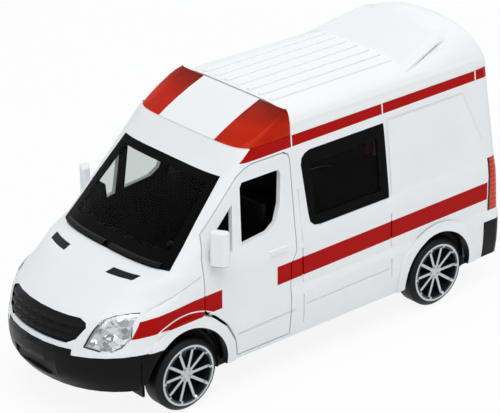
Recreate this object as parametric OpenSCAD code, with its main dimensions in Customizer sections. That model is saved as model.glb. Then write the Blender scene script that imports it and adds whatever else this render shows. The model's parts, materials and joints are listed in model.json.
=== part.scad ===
// Toy ambulance: a die-cast van with a plastic roof, opening doors and a pull-back motor.
// +X is forward, +Y is the vehicle's left and +Z is up. The origin is on the ground, at the middle.

/* [Overall] */
// Length over both bumpers
overall_l = 166; // [160:1:172]
// Width across the widest part of the side panels
body_w = 60.6; // [58:0.2:64]
// Height of the lower edge of the side panels
sill_h = 10; // [9.5:0.1:10.5]
// Height of the seam where the roof sits on the body
seam_h = 74.2; // [70:0.2:80]
// Rise of the roof above the seam
roof_rise = 8.4; // [7:0.2:10]
// Rise of the rear hump above the roof
hump_rise = 5.6; // [4:0.2:7]
// Wall of the metal body
wall = 1.5; // [1.2:0.1:1.8]
// How far the rear face leans forward between the bumper and the roof seam
rear_lean = 3.4; // [2:0.2:4]
// Plan radius of the rear corners
corner_r = 2.8; // [2.7:0.1:3.2]
// Gap round the doors
door_gap = 0.4; // [0.35:0.05:0.6]
// Gap round panes and trim pressed into the body
trim_gap = 0.15; // [0.1:0.05:0.3]
// Gap between pieces that are fixed on top of each other
seat_gap = 0.1; // [0.05:0.05:0.2]

/* [Wheels] */
// Distance from the rear axle to the rear bumper
rear_overhang = 28.6; // [28:0.2:30]
// Distance from the front axle to the front bumper
front_overhang = 34.8; // [34:0.2:36]
// Outer diameter of the tyres
tyre_d = 23; // [22:0.5:24]
// Width of the tyres
tyre_w = 8; // [7:0.25:8.5]
// Diameter of the rims' outer lip
rim_d = 19.3; // [18:0.1:20]
// Height of the lip above the rim's barrel
rim_lip = 0.4; // [0.2:0.1:0.6]
// Wall of the rim's barrel
rim_wall = 0.9; // [0.6:0.1:1.2]
// Number of spokes
spoke_count = 10; // [8:2:14]
// Width of a spoke
spoke_w = 1.1; // [0.8:0.1:1.4]
// Thickness of the spokes
spoke_t = 1.6; // [1.2:0.1:2]
// Diameter of the wheel's hub
hub_d = 5; // [4:0.2:6]
// Diameter of the axles
axle_d = 2; // [1.6:0.1:2.4]
// Radial running gap of the axles and pins
run_gap = 0.06; // [0.04:0.01:0.09]
// How far the wheels stand inside the widest part of the sides
wheel_inset = 0.2; // [0:0.1:0.5]
// Radial gap between a front tyre and its arch
front_arch_gap = 3.4; // [3:0.1:3.8]
// Radial gap between a rear tyre and its arch
rear_arch_gap = 2.5; // [2.2:0.1:3]
// Width of the flare round a wheel arch
flare_w = 3.6; // [3:0.2:4]
// How far the flares stand out from the sides
flare_t = 0.5; // [0.3:0.1:0.7]

/* [Front doors] */
// Distance from the front axle back to the door's front edge
door_setback = 7.2; // [6.8:0.1:7.6]
// Length of a door
door_l = 35.8; // [34:0.2:37]
// Height of a door's lower edge
door_low = 11.6; // [11.2:0.1:12]
// Height of the body between a door's upper edge and the roof seam
door_header = 4.5; // [4.4:0.1:6]
// Thickness of a door
door_t = 1.6; // [1.4:0.1:1.8]
// Gap between a door and the flare ahead of it
door_arch_gap = 0.9; // [0.8:0.05:1.2]
// Diameter of the hinge pins
pin_d = 1.2; // [1:0.1:1.2]
// Distance from a door's hinged edge to its pin
pin_inset = 2.4; // [2.2:0.1:2.8]
// Depth of the pin under the outer face
pin_depth = 1.1; // [1:0.05:1.15]
// Diameter of the barrel round a pin
barrel_d = 2.1; // [2:0.05:2.2]
// Height at which a front door's pin starts in the body
pin_low = 23.8; // [23.4:0.1:24.2]
// Height at which a front door's pin ends in the door
pin_top = 39.5; // [37:0.5:40]
// Size of a mirror from its foot outwards
mirror_w = 4.6; // [4:0.2:6]
// Thickness of a mirror
mirror_t = 3.2; // [3:0.1:3.6]
// Height of a mirror
mirror_h = 11.5; // [10:0.5:12]
// Length of a door handle
handle_l = 7.2; // [6:0.2:8]
// Height of a door handle
handle_h = 1.6; // [1.2:0.1:2]
// How far a door handle stands out
handle_out = 0.6; // [0.4:0.1:0.8]

/* [Rear doors] */
// Width of one rear door
rear_door_w = 24; // [23:0.2:24.4]
// Height of the rear doors' lower edge
rear_door_low = 24.2; // [24:0.1:25]
// Length of a rear pin's end in the body
rear_pin_end = 0.8; // [0.6:0.1:0.9]

/* [Glass and lamps] */
// Thickness of the panes
pane_t = 1.2; // [1:0.1:1.4]
// Thickness of the windscreen along the vehicle
screen_t = 1.8; // [1.5:0.1:2.2]
// Thickness of the lamp lenses
lens_t = 1; // [0.8:0.1:1.2]
// Wall of the beacon lenses and of the fairing between them
beacon_wall = 1.3; // [1:0.1:1.5]
// Length of a side window
window_l = 34.4; // [30:0.2:36]
// Distance from a front door to the side window behind it
window_setback = 4.5; // [4:0.1:6]
// Distance from the middle to the inner edge of a beacon
beacon_in = 13.1; // [12:0.1:14]

/* [Bumpers] */
// Height of the front bumper's lower edge
bumper_low = 11.6; // [11:0.1:12]
// Height of the front bumper's upper edge at the sides
bumper_top = 23.4; // [23:0.1:23.6]
// Extra height of the front bumper in the middle
bumper_step = 1.8; // [1.4:0.1:2]
// Half-width of the raised middle
bumper_step_w = 15; // [13:0.5:16]
// Wall of the bumpers
bumper_t = 2.2; // [1.8:0.1:2.6]
// Height of the rear bumper's upper edge
rear_bumper_top = 22.6; // [22:0.1:23]
// Length of the rear bumper's corners along the sides
rear_bumper_l = 8; // [7.5:0.1:8.4]

/* [Base and motor] */
// Height of the base plate's underside
base_z = 8; // [7.8:0.1:8]
// Thickness of the base plate
base_t = 2; // [1.8:0.1:2.2]
// Length of the motor housing
motor_l = 23; // [22.5:0.1:23.5]
// Width of the motor housing
motor_w = 18; // [17:0.5:20]
// Wall of the motor housing
motor_wall = 1.2; // [1:0.1:1.3]
// Module of the motor's gears
gear_module = 0.6; // [0.55:0.01:0.62]
// Teeth of the pinion on the rear axle
pinion_teeth = 8; // [8:1:9]
// Teeth of the spring gear
spring_teeth = 18; // [16:1:18]
// Width of the gears
gear_w = 2.4; // [2:0.1:3]
// Diameter of the spring gear's arbor
arbor_d = 1.6; // [1.4:0.1:1.8]
// Diameter of a button cell
cell_d = 11.6; // [11.4:0.1:11.8]
// Height of a button cell
cell_h = 5.4; // [5:0.1:5.6]
// Number of button cells
cell_count = 3; // [2:1:3]
// Diameter of the speaker
speaker_d = 20; // [18:0.5:21]
// Travel of the switch
switch_travel = 2; // [1.5:0.1:2.5]
// Diameter of the base screws
screw_d = 2; // [1.8:0.1:2.2]
// Diameter of the base screws' heads
screw_head_d = 3.8; // [3.4:0.1:4]

/* [Interior] */
// Wall of the cab tub
tub_t = 1.2; // [1:0.1:1.5]
// Height of the cab floor's underside
cab_floor_z = 15; // [14.8:0.1:15.4]
// Width of a seat
seat_w = 17; // [15:0.5:18]
// Diameter of the steering wheel
steering_d = 13; // [11:0.5:14]

/* [Hidden] */
$fn = 48;

// Overrun of cuts
cut = 2;
half_l = overall_l / 2;
half_w = body_w / 2;
side_h = seam_h - sill_h;
front_axle_x = half_l - front_overhang;
rear_axle_x = rear_overhang - half_l;
axle_z = tyre_d / 2;
wheel_face = half_w - wheel_inset;
front_arch_r = tyre_d / 2 + front_arch_gap;
rear_arch_r = tyre_d / 2 + rear_arch_gap;

// Plan outlines of the body from the sill to the seam: height, nose, start of the nose's bow,
// half-width and bluntness of the bow
side_shares = [
    [0, 0.94, 0.663, 0.97, 2.15],
    [0.047, 0.973, 0.663, 0.987, 2.15],
    [0.109, 0.996, 0.663, 0.997, 2.15],
    [0.171, 1, 0.663, 1, 2.15],
    [0.218, 0.998, 0.663, 1, 2.15],
    [0.257, 0.992, 0.663, 0.984, 2.15],
    [0.312, 0.978, 0.663, 0.984, 2.15],
    [0.358, 0.96, 0.65, 0.987, 2.2],
    [0.382, 0.943, 0.633, 0.987, 2.2],
    [0.405, 0.918, 0.578, 0.987, 2.25],
    [0.436, 0.88, 0.524, 0.987, 2.3],
    [0.467, 0.837, 0.506, 0.982, 2.4],
    [0.498, 0.789, 0.5, 0.974, 2.6],
    [0.522, 0.729, 0.5, 0.964, 2.8],
    [0.539, 0.657, 0.5, 0.957, 3],
    [0.561, 0.638, 0.482, 0.952, 3.1],
    [0.623, 0.585, 0.434, 0.937, 3.2],
    [0.717, 0.507, 0.373, 0.917, 3.4],
    [0.81, 0.428, 0.313, 0.896, 3.6],
    [0.891, 0.359, 0.259, 0.878, 4],
    [0.945, 0.316, 0.223, 0.866, 4.3],
    [1, 0.276, 0.181, 0.855, 4.5]];
// Heights between those stations where the surface bends most
extra_row_shares = [0.02, 0.08, 0.14, 0.285, 0.335, 0.42, 0.45, 0.482, 0.51, 0.531, 0.59, 0.67, 0.765, 0.85,
    0.92];
// Sections of the roof from front to rear: place, rise of the roof, rise of the hump, half-width, bluntness
roof_shares = [
    [-0.048, 0.97, 0, 0.856, 4.6],
    [0.08, 1, 0, 0.856, 4],
    [0.5, 1, 0, 0.856, 3.6],
    [0.575, 1, 0, 0.856, 3.5],
    [0.66, 1, 0.25, 0.856, 3],
    [0.76, 1, 0.66, 0.854, 2.6],
    [0.85, 1, 1, 0.85, 2.4],
    [0.92, 1, 0.9, 0.84, 2.4],
    [0.95, 0.95, 0.5, 0.825, 2.4],
    [0.957, 0.5, 0.1, 0.815, 2.6],
    [0.959, 0, 0, 0.81, 2.6]];
roof_row_shares = [-0.048, 0.04, 0.2, 0.35, 0.5, 0.575, 0.61, 0.66, 0.71, 0.76, 0.81, 0.86, 0.9, 0.93, 0.945,
    0.953, 0.957, 0.959];
// Outlines of the beacons and the fairing above the seam: height, front edge, half-width
beacon_shares = [
    [0, 0.276, 0.852],
    [0.2, 0.24, 0.852],
    [0.45, 0.188, 0.848],
    [0.7, 0.13, 0.838],
    [0.86, 0.086, 0.82],
    [0.96, 0.058, 0.79]];
beacon_blunt = 5;
beacon_bow_share = 0.35;

// Smooth steps between the stations of a table, with no overshoot
function slope(t, k, i) = (t[i + 1][k] - t[i][k]) / (t[i + 1][0] - t[i][0]);
function mean_slope(a, b) = a * b <= 0 ? 0 : 2 * a * b / (a + b);
function tangent(t, k, i) = i == 0 ? slope(t, k, 0)
    : i == len(t) - 1 ? slope(t, k, i - 1) : mean_slope(slope(t, k, i - 1), slope(t, k, i));
function span_at(t, s, i = 0) = i >= len(t) - 2 || s < t[i + 1][0] ? i : span_at(t, s, i + 1);
function hermite(q, a, b, da, db) = (2 * q ^ 3 - 3 * q ^ 2 + 1) * a + (q ^ 3 - 2 * q ^ 2 + q) * da
    + (3 * q ^ 2 - 2 * q ^ 3) * b + (q ^ 3 - q ^ 2) * db;
function within(t, s) = max(t[0][0], min(t[len(t) - 1][0], s));
function smooth(t, k, s) = let (c = within(t, s), i = span_at(t, c), h = t[i + 1][0] - t[i][0])
    hermite((c - t[i][0]) / h, t[i][k], t[i + 1][k], h * tangent(t, k, i), h * tangent(t, k, i + 1));
// Straight steps between the stations of a table
function line(t, k, s) = let (c = within(t, s), i = span_at(t, c)) t[i][k] + slope(t, k, i) * (c - t[i][0]);
function spread(a, b, n) = [for (i = [0 : n]) a + (b - a) * i / n];
function sorted(v) = len(v) < 2 ? v : let (p = v[0])
    concat(sorted([for (x = v) if (x < p) x]), [p], sorted([for (x = v) if (x > p) x]));

// The body's surface
function up(share) = sill_h + share * side_h;
function rise(z) = (z - sill_h) / side_h;
function nose_x(z) = smooth(side_shares, 1, rise(z)) * half_l;
function bow_x(z) = smooth(side_shares, 2, rise(z)) * half_l;
function side_w(z) = smooth(side_shares, 3, rise(z)) * half_w;
function blunt(z) = smooth(side_shares, 4, rise(z));
function tail_x(z) = rear_lean * max(0, z - rear_bumper_top) / (seam_h - rear_bumper_top) - half_l;
function round_off(q, n) = (1 - min(1, max(0, q)) ^ n) ^ (1 / n);
function side_y(x, z) = side_w(z) * round_off((x - bow_x(z)) / (nose_x(z) - bow_x(z)), blunt(z));
function front_x(y, z) = bow_x(z) + (nose_x(z) - bow_x(z)) * round_off(abs(y) / side_w(z), blunt(z));
function bow(a, z, t) = let (n = blunt(z)) [bow_x(z) + (nose_x(z) - bow_x(z) - t) * cos(a) ^ (2 / n),
    sign(a) * (side_w(z) - t) * abs(sin(a)) ^ (2 / n), z];
function corner(a, z, t) = [tail_x(z) + corner_r - (corner_r - t) * sin(a),
    side_w(z) - corner_r + (corner_r - t) * cos(a), z];
function to_right(p) = [p[0], -p[1], p[2]];
bow_steps = 9;
corner_steps = 4;
// A full plan outline at a height, drawn in by t
function outline(z, t) = concat(
    [for (a = spread(-90, 90, 2 * bow_steps)) bow(a, z, t)],
    [for (a = spread(0, 90, corner_steps)) corner(a, z, t)],
    [for (a = spread(90, 0, corner_steps)) to_right(corner(a, z, t))]);
// The hollow lies a wall below the hood and the screen as well, and a frame's depth from the rear doors
function inner_outline(z) = [for (p = outline(min(seam_h, z + wall), wall))
    [max(p[0], tail_x(z) + frame_t), p[1], z]];
body_zs = sorted(concat([for (r = side_shares) up(r[0])], [for (s = extra_row_shares) up(s)]));

// The roof's surface
lift = seam_h + seat_gap;
function roof_h(x) = smooth(roof_shares, 1, -x / half_l) * roof_rise
    + smooth(roof_shares, 2, -x / half_l) * hump_rise;
function roof_w(x) = smooth(roof_shares, 3, -x / half_l) * half_w;
function roof_n(x) = smooth(roof_shares, 4, -x / half_l);
roof_start_x = -roof_shares[0][0] * half_l;
roof_end_x = -roof_shares[len(roof_shares) - 1][0] * half_l;
// The inside of the roof stops short of its rear face
function roof_in_x(x, t) = roof_start_x + (x - roof_start_x) * (1 - t / (roof_start_x - roof_end_x));
function roof_point(a, x, t) = let (n = roof_n(x)) [roof_in_x(x, t),
    sign(a) * (roof_w(x) - t) * abs(sin(a)) ^ (2 / n), lift + max(0, roof_h(x) - t) * abs(cos(a)) ^ (2 / n)];
function roof_z(x, y, t) = lift + max(0, roof_h(x) - t) * round_off(abs(y) / (roof_w(x) - t), roof_n(x));
roof_xs = [for (s = roof_row_shares) -s * half_l];
roof_a_steps = 20;
// Ribs along the roof, and stiffeners across its inside
rib_count = 7;
rib_w = 2.4;
rib_h = 0.4;
rib_pitch_share = 0.17;
rib_end_share = 0.55;
rib_start_x = roof_start_x - rib_w;
rib_end_x = -rib_end_share * half_l;
// Pod panel: its edges along, across and up the roof, from front to rear
pod_shares = [[0.578, 0.64, 0.985], [0.79, 0.528, 1.515], [0.92, 0.4, 1.44]];
pod_d = 0.8;
pod_flare = 3.4;
pod_drop = 2.2;
rib_ys = [for (i = [0 : rib_count - 1]) (i - (rib_count - 1) / 2) * rib_pitch_share * half_w];
stiffener_shares = [0.12, 0.3];
stiffener_w_share = 0.6;
stiffener_d = 1.4;

// The beacons' surface, which the fairing between them shares
beacon_rear_x = roof_start_x + seat_gap;
function beacon_s(z) = (z - lift) / roof_rise;
function beacon_x(z) = smooth(beacon_shares, 1, beacon_s(z)) * half_l;
function beacon_w(z) = smooth(beacon_shares, 2, beacon_s(z)) * half_w;
function beacon_bow(z) = beacon_rear_x + beacon_bow_share * (beacon_x(z) - beacon_rear_x);
function beacon_front(y, z, t) = beacon_bow(z) + (beacon_x(z) - beacon_bow(z))
    * round_off(abs(y) / (beacon_w(z) - t), beacon_blunt);
function beacon_side(a, z, t) = [beacon_bow(z) + (beacon_x(z) - beacon_bow(z)) * cos(a) ^ (2 / beacon_blunt),
    (beacon_w(z) - t) * sin(a) ^ (2 / beacon_blunt), z];
function beacon_a(y, z, t) = asin((y / (beacon_w(z) - t)) ^ (beacon_blunt / 2));
function dropped(p, t) = [p[0], p[1], p[2] - t];
beacon_steps = 8;
beacon_top = lift + beacon_shares[len(beacon_shares) - 1][0] * roof_rise;
beacon_zs = [for (r = beacon_shares) lift + r[0] * roof_rise];
function under(z) = lift + (z - lift) * (beacon_top - beacon_wall - lift) / (beacon_top - lift) + beacon_wall;

// A closed solid through a stack of outlines with equal counts of points
module stack(rings) {
    m = len(rings[0]);
    n = len(rings);
    function at(i, j) = i * m + j % m;
    sides = [for (i = [0 : n - 2], j = [0 : m - 1])
        each [[at(i, j), at(i + 1, j), at(i, j + 1)], [at(i + 1, j), at(i + 1, j + 1), at(i, j + 1)]]];
    ends = [for (j = [1 : m - 2]) each [[0, j, j + 1], [at(n - 1, 0), at(n - 1, j + 1), at(n - 1, j)]]];
    polyhedron([for (r = rings) each r], concat(sides, ends));
}
// A closed plate between an outer and an inner grid of points
module skin(outer, inner) {
    n = len(outer);
    m = len(outer[0]);
    s = n * m;
    function quad(a, b, c, d) = [[a, b, c], [a, c, d]];
    faces = [for (i = [0 : n - 2], j = [0 : m - 2]) let (a = i * m + j)
        each concat(quad(a, a + m, a + m + 1, a + 1), quad(s + a, s + a + 1, s + a + m + 1, s + a + m))];
    rows = [for (j = [0 : m - 2]) let (a = (n - 1) * m + j)
        each concat(quad(j, j + 1, s + j + 1, s + j), quad(a, s + a, s + a + 1, a + 1))];
    columns = [for (i = [0 : n - 2]) let (a = i * m, b = i * m + m - 1)
        each concat(quad(a, s + a, s + a + m, a + m), quad(b, b + m, s + b + m, s + b))];
    polyhedron(concat([for (r = outer) each r], [for (r = inner) each r]), concat(faces, rows, columns));
}
// A plate of the left side between two edges, each a place along the vehicle at every height
module side_plate(zs, fronts, rears, cols, t) {
    grid = [for (i = [0 : len(zs) - 1])
        [for (x = spread(fronts[i], rears[i], cols)) [x, side_y(x, zs[i]), zs[i]]]];
    skin(grid, [for (r = grid) [for (p = r) [p[0], p[1] - t, p[2]]]]);
}
// A plate of the nose between two edges, each a distance to the left at every height
module front_plate(zs, rights, lefts, cols, depth, t) {
    grid = [for (i = [0 : len(zs) - 1])
        [for (y = spread(rights[i], lefts[i], cols)) [front_x(y, zs[i]) - depth, y, zs[i]]]];
    skin(grid, [for (r = grid) [for (p = r) [p[0] - t, p[1], p[2]]]]);
}
module both_sides() {
    for (side = [0, 1]) mirror([0, side, 0]) children();
}
module right_side() {
    mirror([0, 1, 0]) children();
}
// A prism through the left side, from an outline in length and height
module side_cut(points, grow) {
    translate([0, half_w + cut, 0]) rotate([90, 0, 0]) linear_extrude(half_w)
        offset(delta = grow) polygon(points);
}
// A prism through the nose, from an outline in width and height
module nose_cut(points, grow, x) {
    translate([x, 0, 0]) rotate([90, 0, 90]) linear_extrude(half_l)
        offset(delta = grow) polygon(points);
}
module rod_y(r, y0, y1) {
    translate([0, y1, 0]) rotate([90, 0, 0]) cylinder(r = r, h = y1 - y0);
}
module block(x0, x1, y0, y1, z0, z1) {
    translate([x0, y0, z0]) cube([x1 - x0, y1 - y0, z1 - z0]);
}
module slab(l, w, z0, z1) {
    block(-l / 2, l / 2, -w / 2, w / 2, z0, z1);
}
function edge_loop(zs, a, b) = concat([for (i = [0 : len(zs) - 1]) [a[i], zs[i]]],
    [for (i = [len(zs) - 1 : -1 : 0]) [b[i], zs[i]]]);

// The front doors
door_front_x = front_axle_x - door_setback;
door_rear_x = door_front_x - door_l;
door_top = seam_h - door_header;
door_h = door_top - door_low;
front_flare_r = front_arch_r + flare_w;
rear_flare_r = rear_arch_r + flare_w;
door_arch_r = front_flare_r + door_arch_gap;
// Edges of a door: height, rear edge, front edge
door_shares = [
    [0, 0.09, 1],
    [0.4, 0.065, 1],
    [0.46, 0.005, 1],
    [0.6, 0, 1],
    [0.715, 0, 0.965],
    [0.955, 0, 0.562],
    [0.985, 0.015, 0.49],
    [1, 0.06, 0.4]];
door_row_shares = [0, 0.1, 0.2, 0.27, 0.3, 0.33, 0.4, 0.46, 0.53, 0.6, 0.66, 0.715, 0.78, 0.84, 0.9, 0.955,
    0.985, 1];
door_zs = [for (s = door_row_shares) door_low + s * door_h];
function arch_x(z, r) = front_axle_x - sqrt(max(0, r ^ 2 - (z - axle_z) ^ 2));
function door_edge(s, r) = min(arch_x(door_low + s * door_h, r),
    door_rear_x + line(door_shares, 2, s) * door_l);
door_fronts = [for (s = door_row_shares) door_edge(s, door_arch_r)];
door_rears = [for (s = door_row_shares) door_rear_x + line(door_shares, 1, s) * door_l];
doorway_row_shares = [0, 0.1, 0.2, 0.27, 0.3, 0.33, 0.6, 0.715, 0.955, 0.985, 1];
doorway = concat(
    [for (s = doorway_row_shares) [door_edge(s, front_flare_r + door_gap), door_low + s * door_h]],
    [for (i = [len(door_shares) - 1 : -1 : 0]) let (r = door_shares[i])
        [door_rear_x + r[1] * door_l, door_low + r[0] * door_h]]);
door_cols = 8;
// Windows of a door, as places in its length and height
main_window_shares = [[0.105, 0.9], [0.125, 0.925], [0.525, 0.925], [0.55, 0.9], [0.58, 0.598], [0.29, 0.615],
    [0.2, 0.65], [0.14, 0.74]];
quarter_window_shares = [[0.645, 0.83], [0.85, 0.715], [0.85, 0.69], [0.79, 0.66], [0.765, 0.575],
    [0.68, 0.585]];
function on_door(shares) = [for (p = shares) [door_rear_x + p[0] * door_l, door_low + p[1] * door_h]];
pin_share = 0.312;
pin_x = door_front_x - pin_inset;
pin_y = side_y(pin_x, up(pin_share)) - pin_depth;
boss_d = barrel_d + wall;
barrel_low = axle_z + sqrt(door_arch_r ^ 2 - (front_axle_x - pin_x - barrel_d / 2) ^ 2) + seat_gap;
handle_x_share = 0.1;
handle_z_share = 0.5;
handle_x = door_rear_x + handle_x_share * door_l;
handle_z = door_low + handle_z_share * door_h;
mirror_low_share = 0.535;
mirror_lead = 0;
mirror_out = 1.9;
mirror_sweep = 1.6;
mirror_r = 1;
mirror_foot_l = 2.6;
mirror_foot_h = 3.4;

// The rear doors, on a face that leans
rear_angle = atan(rear_lean / (seam_h - rear_bumper_top));
rear_door_z = (rear_door_low - rear_bumper_top) / cos(rear_angle);
rear_door_h = (door_top - rear_door_low) / cos(rear_angle);
rear_pin_y = rear_door_w - pin_inset;
rear_pin_z = rear_door_z - door_gap - rear_pin_end;
rear_pin_l = rear_door_h + 2 * (door_gap + rear_pin_end);
frame_t = 2 * pin_depth + wall;
rear_window_z_shares = [0.5, 0.9];
rear_window_y_shares = [0.16, 0.76];
rear_pane_depth = 0.2;
module rear_place() {
    translate([-half_l, 0, rear_bumper_top]) rotate([0, rear_angle, 0]) children();
}

// Panes and trim, as shares of the side's height, the half-length and the half-width
// Windscreen: height, half-width
screen_shares = [[0.541, 0.83], [0.6, 0.814], [0.66, 0.798], [0.72, 0.782], [0.78, 0.765], [0.84, 0.749],
    [0.89, 0.735]];
screen_zs = [for (r = screen_shares) up(r[0])];
screen_ws = [for (r = screen_shares) r[1] * half_w];
screen_cols = 10;
wiper_h = 0.9;
wiper_t = 0.8;
wiper_rise = 0.6;
wiper_shares = [0.04, 0.74];
// Side window: height, and its front and rear edges back along its length
window_shares = [
    [0.528, 0.165, 0.993],
    [0.535, 0.098, 0.998],
    [0.556, 0.057, 1.0],
    [0.6, 0.042, 1.0],
    [0.75, 0.016, 0.995],
    [0.845, -0.001, 0.99],
    [0.875, 0.011, 0.988],
    [0.893, 0.049, 0.985],
    [0.903, 0.102, 0.985]];
window_x = door_rear_x - window_setback;
window_zs = [for (r = window_shares) up(r[0])];
window_fronts = [for (r = window_shares) window_x - r[1] * window_l];
window_rears = [for (r = window_shares) window_x - r[2] * window_l];
window_cols = 5;
// Grille: height, half-width
grille_shares = [[0.262, 0.42], [0.29, 0.52], [0.345, 0.585], [0.362, 0.57], [0.376, 0.5]];
grille_zs = [for (r = grille_shares) up(r[0])];
grille_ws = [for (r = grille_shares) r[1] * half_w];
grille_cols = 8;
grille_depth = 0.6;
grille_t = 1.4;
slat_t = 0.7;
slat_shares = [0.285, 0.315, 0.345];
slat_inset = 0.8;
// Headlight: height, inner edge, outer edge
lamp_shares = [
    [0.241, 0.73, 0.81],
    [0.257, 0.6, 0.858],
    [0.297, 0.625, 0.895],
    [0.34, 0.655, 0.895],
    [0.379, 0.69, 0.885],
    [0.396, 0.75, 0.88],
    [0.402, 0.84, 0.876]];
lamp_zs = [for (r = lamp_shares) up(r[0])];
lamp_ins = [for (r = lamp_shares) r[1] * half_w];
lamp_outs = [for (r = lamp_shares) r[2] * half_w];
lamp_cols = 5;
reflector_gap = 0.3;
reflector_t = 0.9;
reflector_inset = 0.3;
// Hood vents: height, inner edge, outer edge
vent_shares = [[0.513, 0.335, 0.645], [0.524, 0.35, 0.667]];
vent_t = 1.2;
vent_grid = [for (r = vent_shares) let (z = up(r[0]))
    [for (y = spread(r[1] * half_w, r[2] * half_w, 4)) [front_x(y, z), y, z]]];
// Tail lights: lower and upper edge
tail_shares = [0.255, 0.535];
tail_rows = 4;
tail_zs = [for (s = spread(tail_shares[0], tail_shares[1], tail_rows)) up(s)];
tail_l = 4.6;
tail_front_x = tail_x(tail_zs[tail_rows]) + tail_l;
tail_in = rear_door_w + door_gap + frame_t / 2;
// Bumpers
bumper_rows = 5;
bumper_cols = 16;
bumper_end_x = front_axle_x + front_arch_r + wall + trim_gap;
bumper_lap = 0.4;
intake_shares = [0.28, 0.62];
intake_w_share = 0.32;
intake_depth = 1;
rear_bumper_low = sill_h + seat_gap;
// Grooves between the panels of a side: their ends along the half-length and up the side
groove_shares = [
    [[0.033, 0.06], [0.033, 0.2]], [[0.033, 0.27], [0.033, 0.44]], [[0.033, 0.47], [0.033, 0.73]],
    [[-0.41, 0.11], [-0.41, 0.2]], [[-0.41, 0.27], [-0.41, 0.44]],
    [[0.015, 0.15], [-0.39, 0.155]],
    [[0.515, 0.49], [0.62, 0.445]], [[0.635, 0.438], [0.74, 0.4]]];
groove_d = 0.7;
groove_depth = 0.4;

// Base
base_top = base_z + base_t;
base_inset = 1.3;
base_w = side_w(sill_h) - wall - door_gap - base_inset;
tyre_in = wheel_face - tyre_w;
wheel_room = 2.2;
well_t = 1.2;
well_in = tyre_in - wheel_room;
well_r = tyre_d / 2 + wheel_room;
well_out = pin_y - boss_d / 2 - door_gap;
tongue_w = well_in - well_t / 2;
tub_w = well_in - well_t - trim_gap;
base_front_x_share = 0.846;
base_rear_x_share = 0.925;
bearing_l = 5;
bearing_w = 3;
post_d = 5.2;
front_post_x_share = 0.81;
front_post_y_share = 0.36;
rear_post_x_share = 0.875;
rear_post_y_share = 0.78;
rear_post_h = 8;
rear_post_l = 4.4;
screw_l = 6;
head_h = 1.2;
front_post = [front_post_x_share * half_l, front_post_y_share * half_w];
rear_post = [-rear_post_x_share * half_l, rear_post_y_share * half_w];
nose_w = front_post[1] + screw_head_d / 2 + well_t;
// Motor
gear_slack = 0.12;
pinion_r = gear_module * pinion_teeth / 2;
spring_r = gear_module * spring_teeth / 2;
gear_distance = pinion_r + spring_r + gear_slack;
gear_rise = 2;
gear_angle = asin(gear_rise / gear_distance);
spring_x = rear_axle_x + gear_distance * cos(gear_angle);
spring_z = axle_z + gear_rise;
motor_room = 1.2;
motor_x1 = spring_x + spring_r + gear_module + motor_room + motor_wall;
motor_x0 = motor_x1 - motor_l;
motor_z0 = spring_z - spring_r - gear_module - motor_room - motor_wall;
motor_z1 = spring_z + spring_r + gear_module + motor_room + motor_wall;
motor_y = motor_w / 2;
motor_open_y = motor_y - motor_wall - seat_gap;
motor_ear = 3;
gear_y = 1;
spring_coil_w = 4;
spring_coil_gap = 0.5;
spring_coil_share = 0.85;
tooth_top_share = 0.2;
tooth_root_share = 0.56;
addendum_share = 0.85;
dedendum_share = 1.2;
press_gap = 0.02;
// Batteries, board, speaker and switch
battery_lead = 11.1;
battery_room = 0.4;
cell_pitch = cell_d + battery_room;
box_t = 1.2;
box_l = cell_d + 2 * battery_room;
battery_x = motor_x1 + battery_lead + box_l / 2;
box_w = cell_pitch * (cell_count - 1) + cell_d + 2 * battery_room;
cover_t = 1.5;
cell_z = base_z + cover_t + seat_gap;
box_top = cell_z + cell_h + seat_gap;
board_t = 1;
chip_h = 1.4;
chip_share = 0.4;
speaker_h = 4.2;
speaker_x = 17;
speaker_ring_share = 0.25;
speaker_hole_d = 1.6;
speaker_holes = 6;
magnet_share = 0.55;
switch_x = -3;
switch_l = 6;
switch_w = 11;
switch_h = 3.6;
switch_wall = 1;
stem_l = 1.8;
stem_w = 2;
stem_gap = 0.2;
flange = 0.6;
flange_t = 0.8;
knob_l = 3;
knob_w = 3.6;
knob_h = 1;
stem_room = stem_w / 2 + switch_travel / 2 + stem_gap;
knob_room = knob_w / 2 + switch_travel / 2 + stem_gap;
// Interior
bulkhead_x = door_rear_x - 2 * tub_t - wall;
cab_front_x = front_axle_x + 2 * tub_t;
cab_w = side_w(cab_floor_z) - door_t - 2 * door_gap;
firewall_h = 24;
dash_l = 7.5;
dash_h = 9;
dash_low_share = 0.34;
dash_w_share = 0.86;
dash_slant = 2;
deck_z = axle_z + well_r + well_t + seat_gap;
deck_w = side_w(deck_z) - wall - door_gap;
deck_rear_x = tail_x(deck_z) + frame_t + door_gap + seat_gap;
seat_l = 17;
seat_gap_x = 5;
seat_y_share = 0.44;
pedestal_h = 5;
cushion_h = 5;
back_h = 27;
back_t = 4.5;
back_lean = 3;
seat_r = 1;
steering_tube = 1.3;
steering_turn = 55;
column_l = 7;
column_d = 1.6;
steering_spokes = 3;
lamp_board_t = 1;
lamp_board_l = 7;
lamp_d = 3;
lamp_h = 1.4;
lamp_y_share = 0.62;

module body_solid(t) {
    stack([for (z = body_zs) outline(z, t)]);
}
module body_hollow() {
    table_zs = [for (r = side_shares) up(r[0])];
    zs = concat([sill_h - cut], [for (z = table_zs) if (z < seam_h - wall) z], [seam_h + cut]);
    stack([for (z = zs) inner_outline(z)]);
}
module arch_disc(x, r) {
    translate([x, 0, axle_z]) rod_y(r, well_in, half_w + cut);
}
// A wheel arch, which is straight below the axle
module arch_cut(x, r) {
    arch_disc(x, r);
    block(x - r, x + r, well_in, half_w + cut, 0, axle_z);
}
// Flares round the wheel arches, a little proud of the sides
module body_flares() {
    intersection() {
        body_solid(-flare_t);
        both_sides() difference() {
            union() {
                arch_disc(front_axle_x, front_flare_r);
                arch_disc(rear_axle_x, rear_flare_r);
            }
            block(-half_l, half_l, 0, side_w(axle_z) - wall, 0, seam_h);
        }
    }
}
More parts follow.
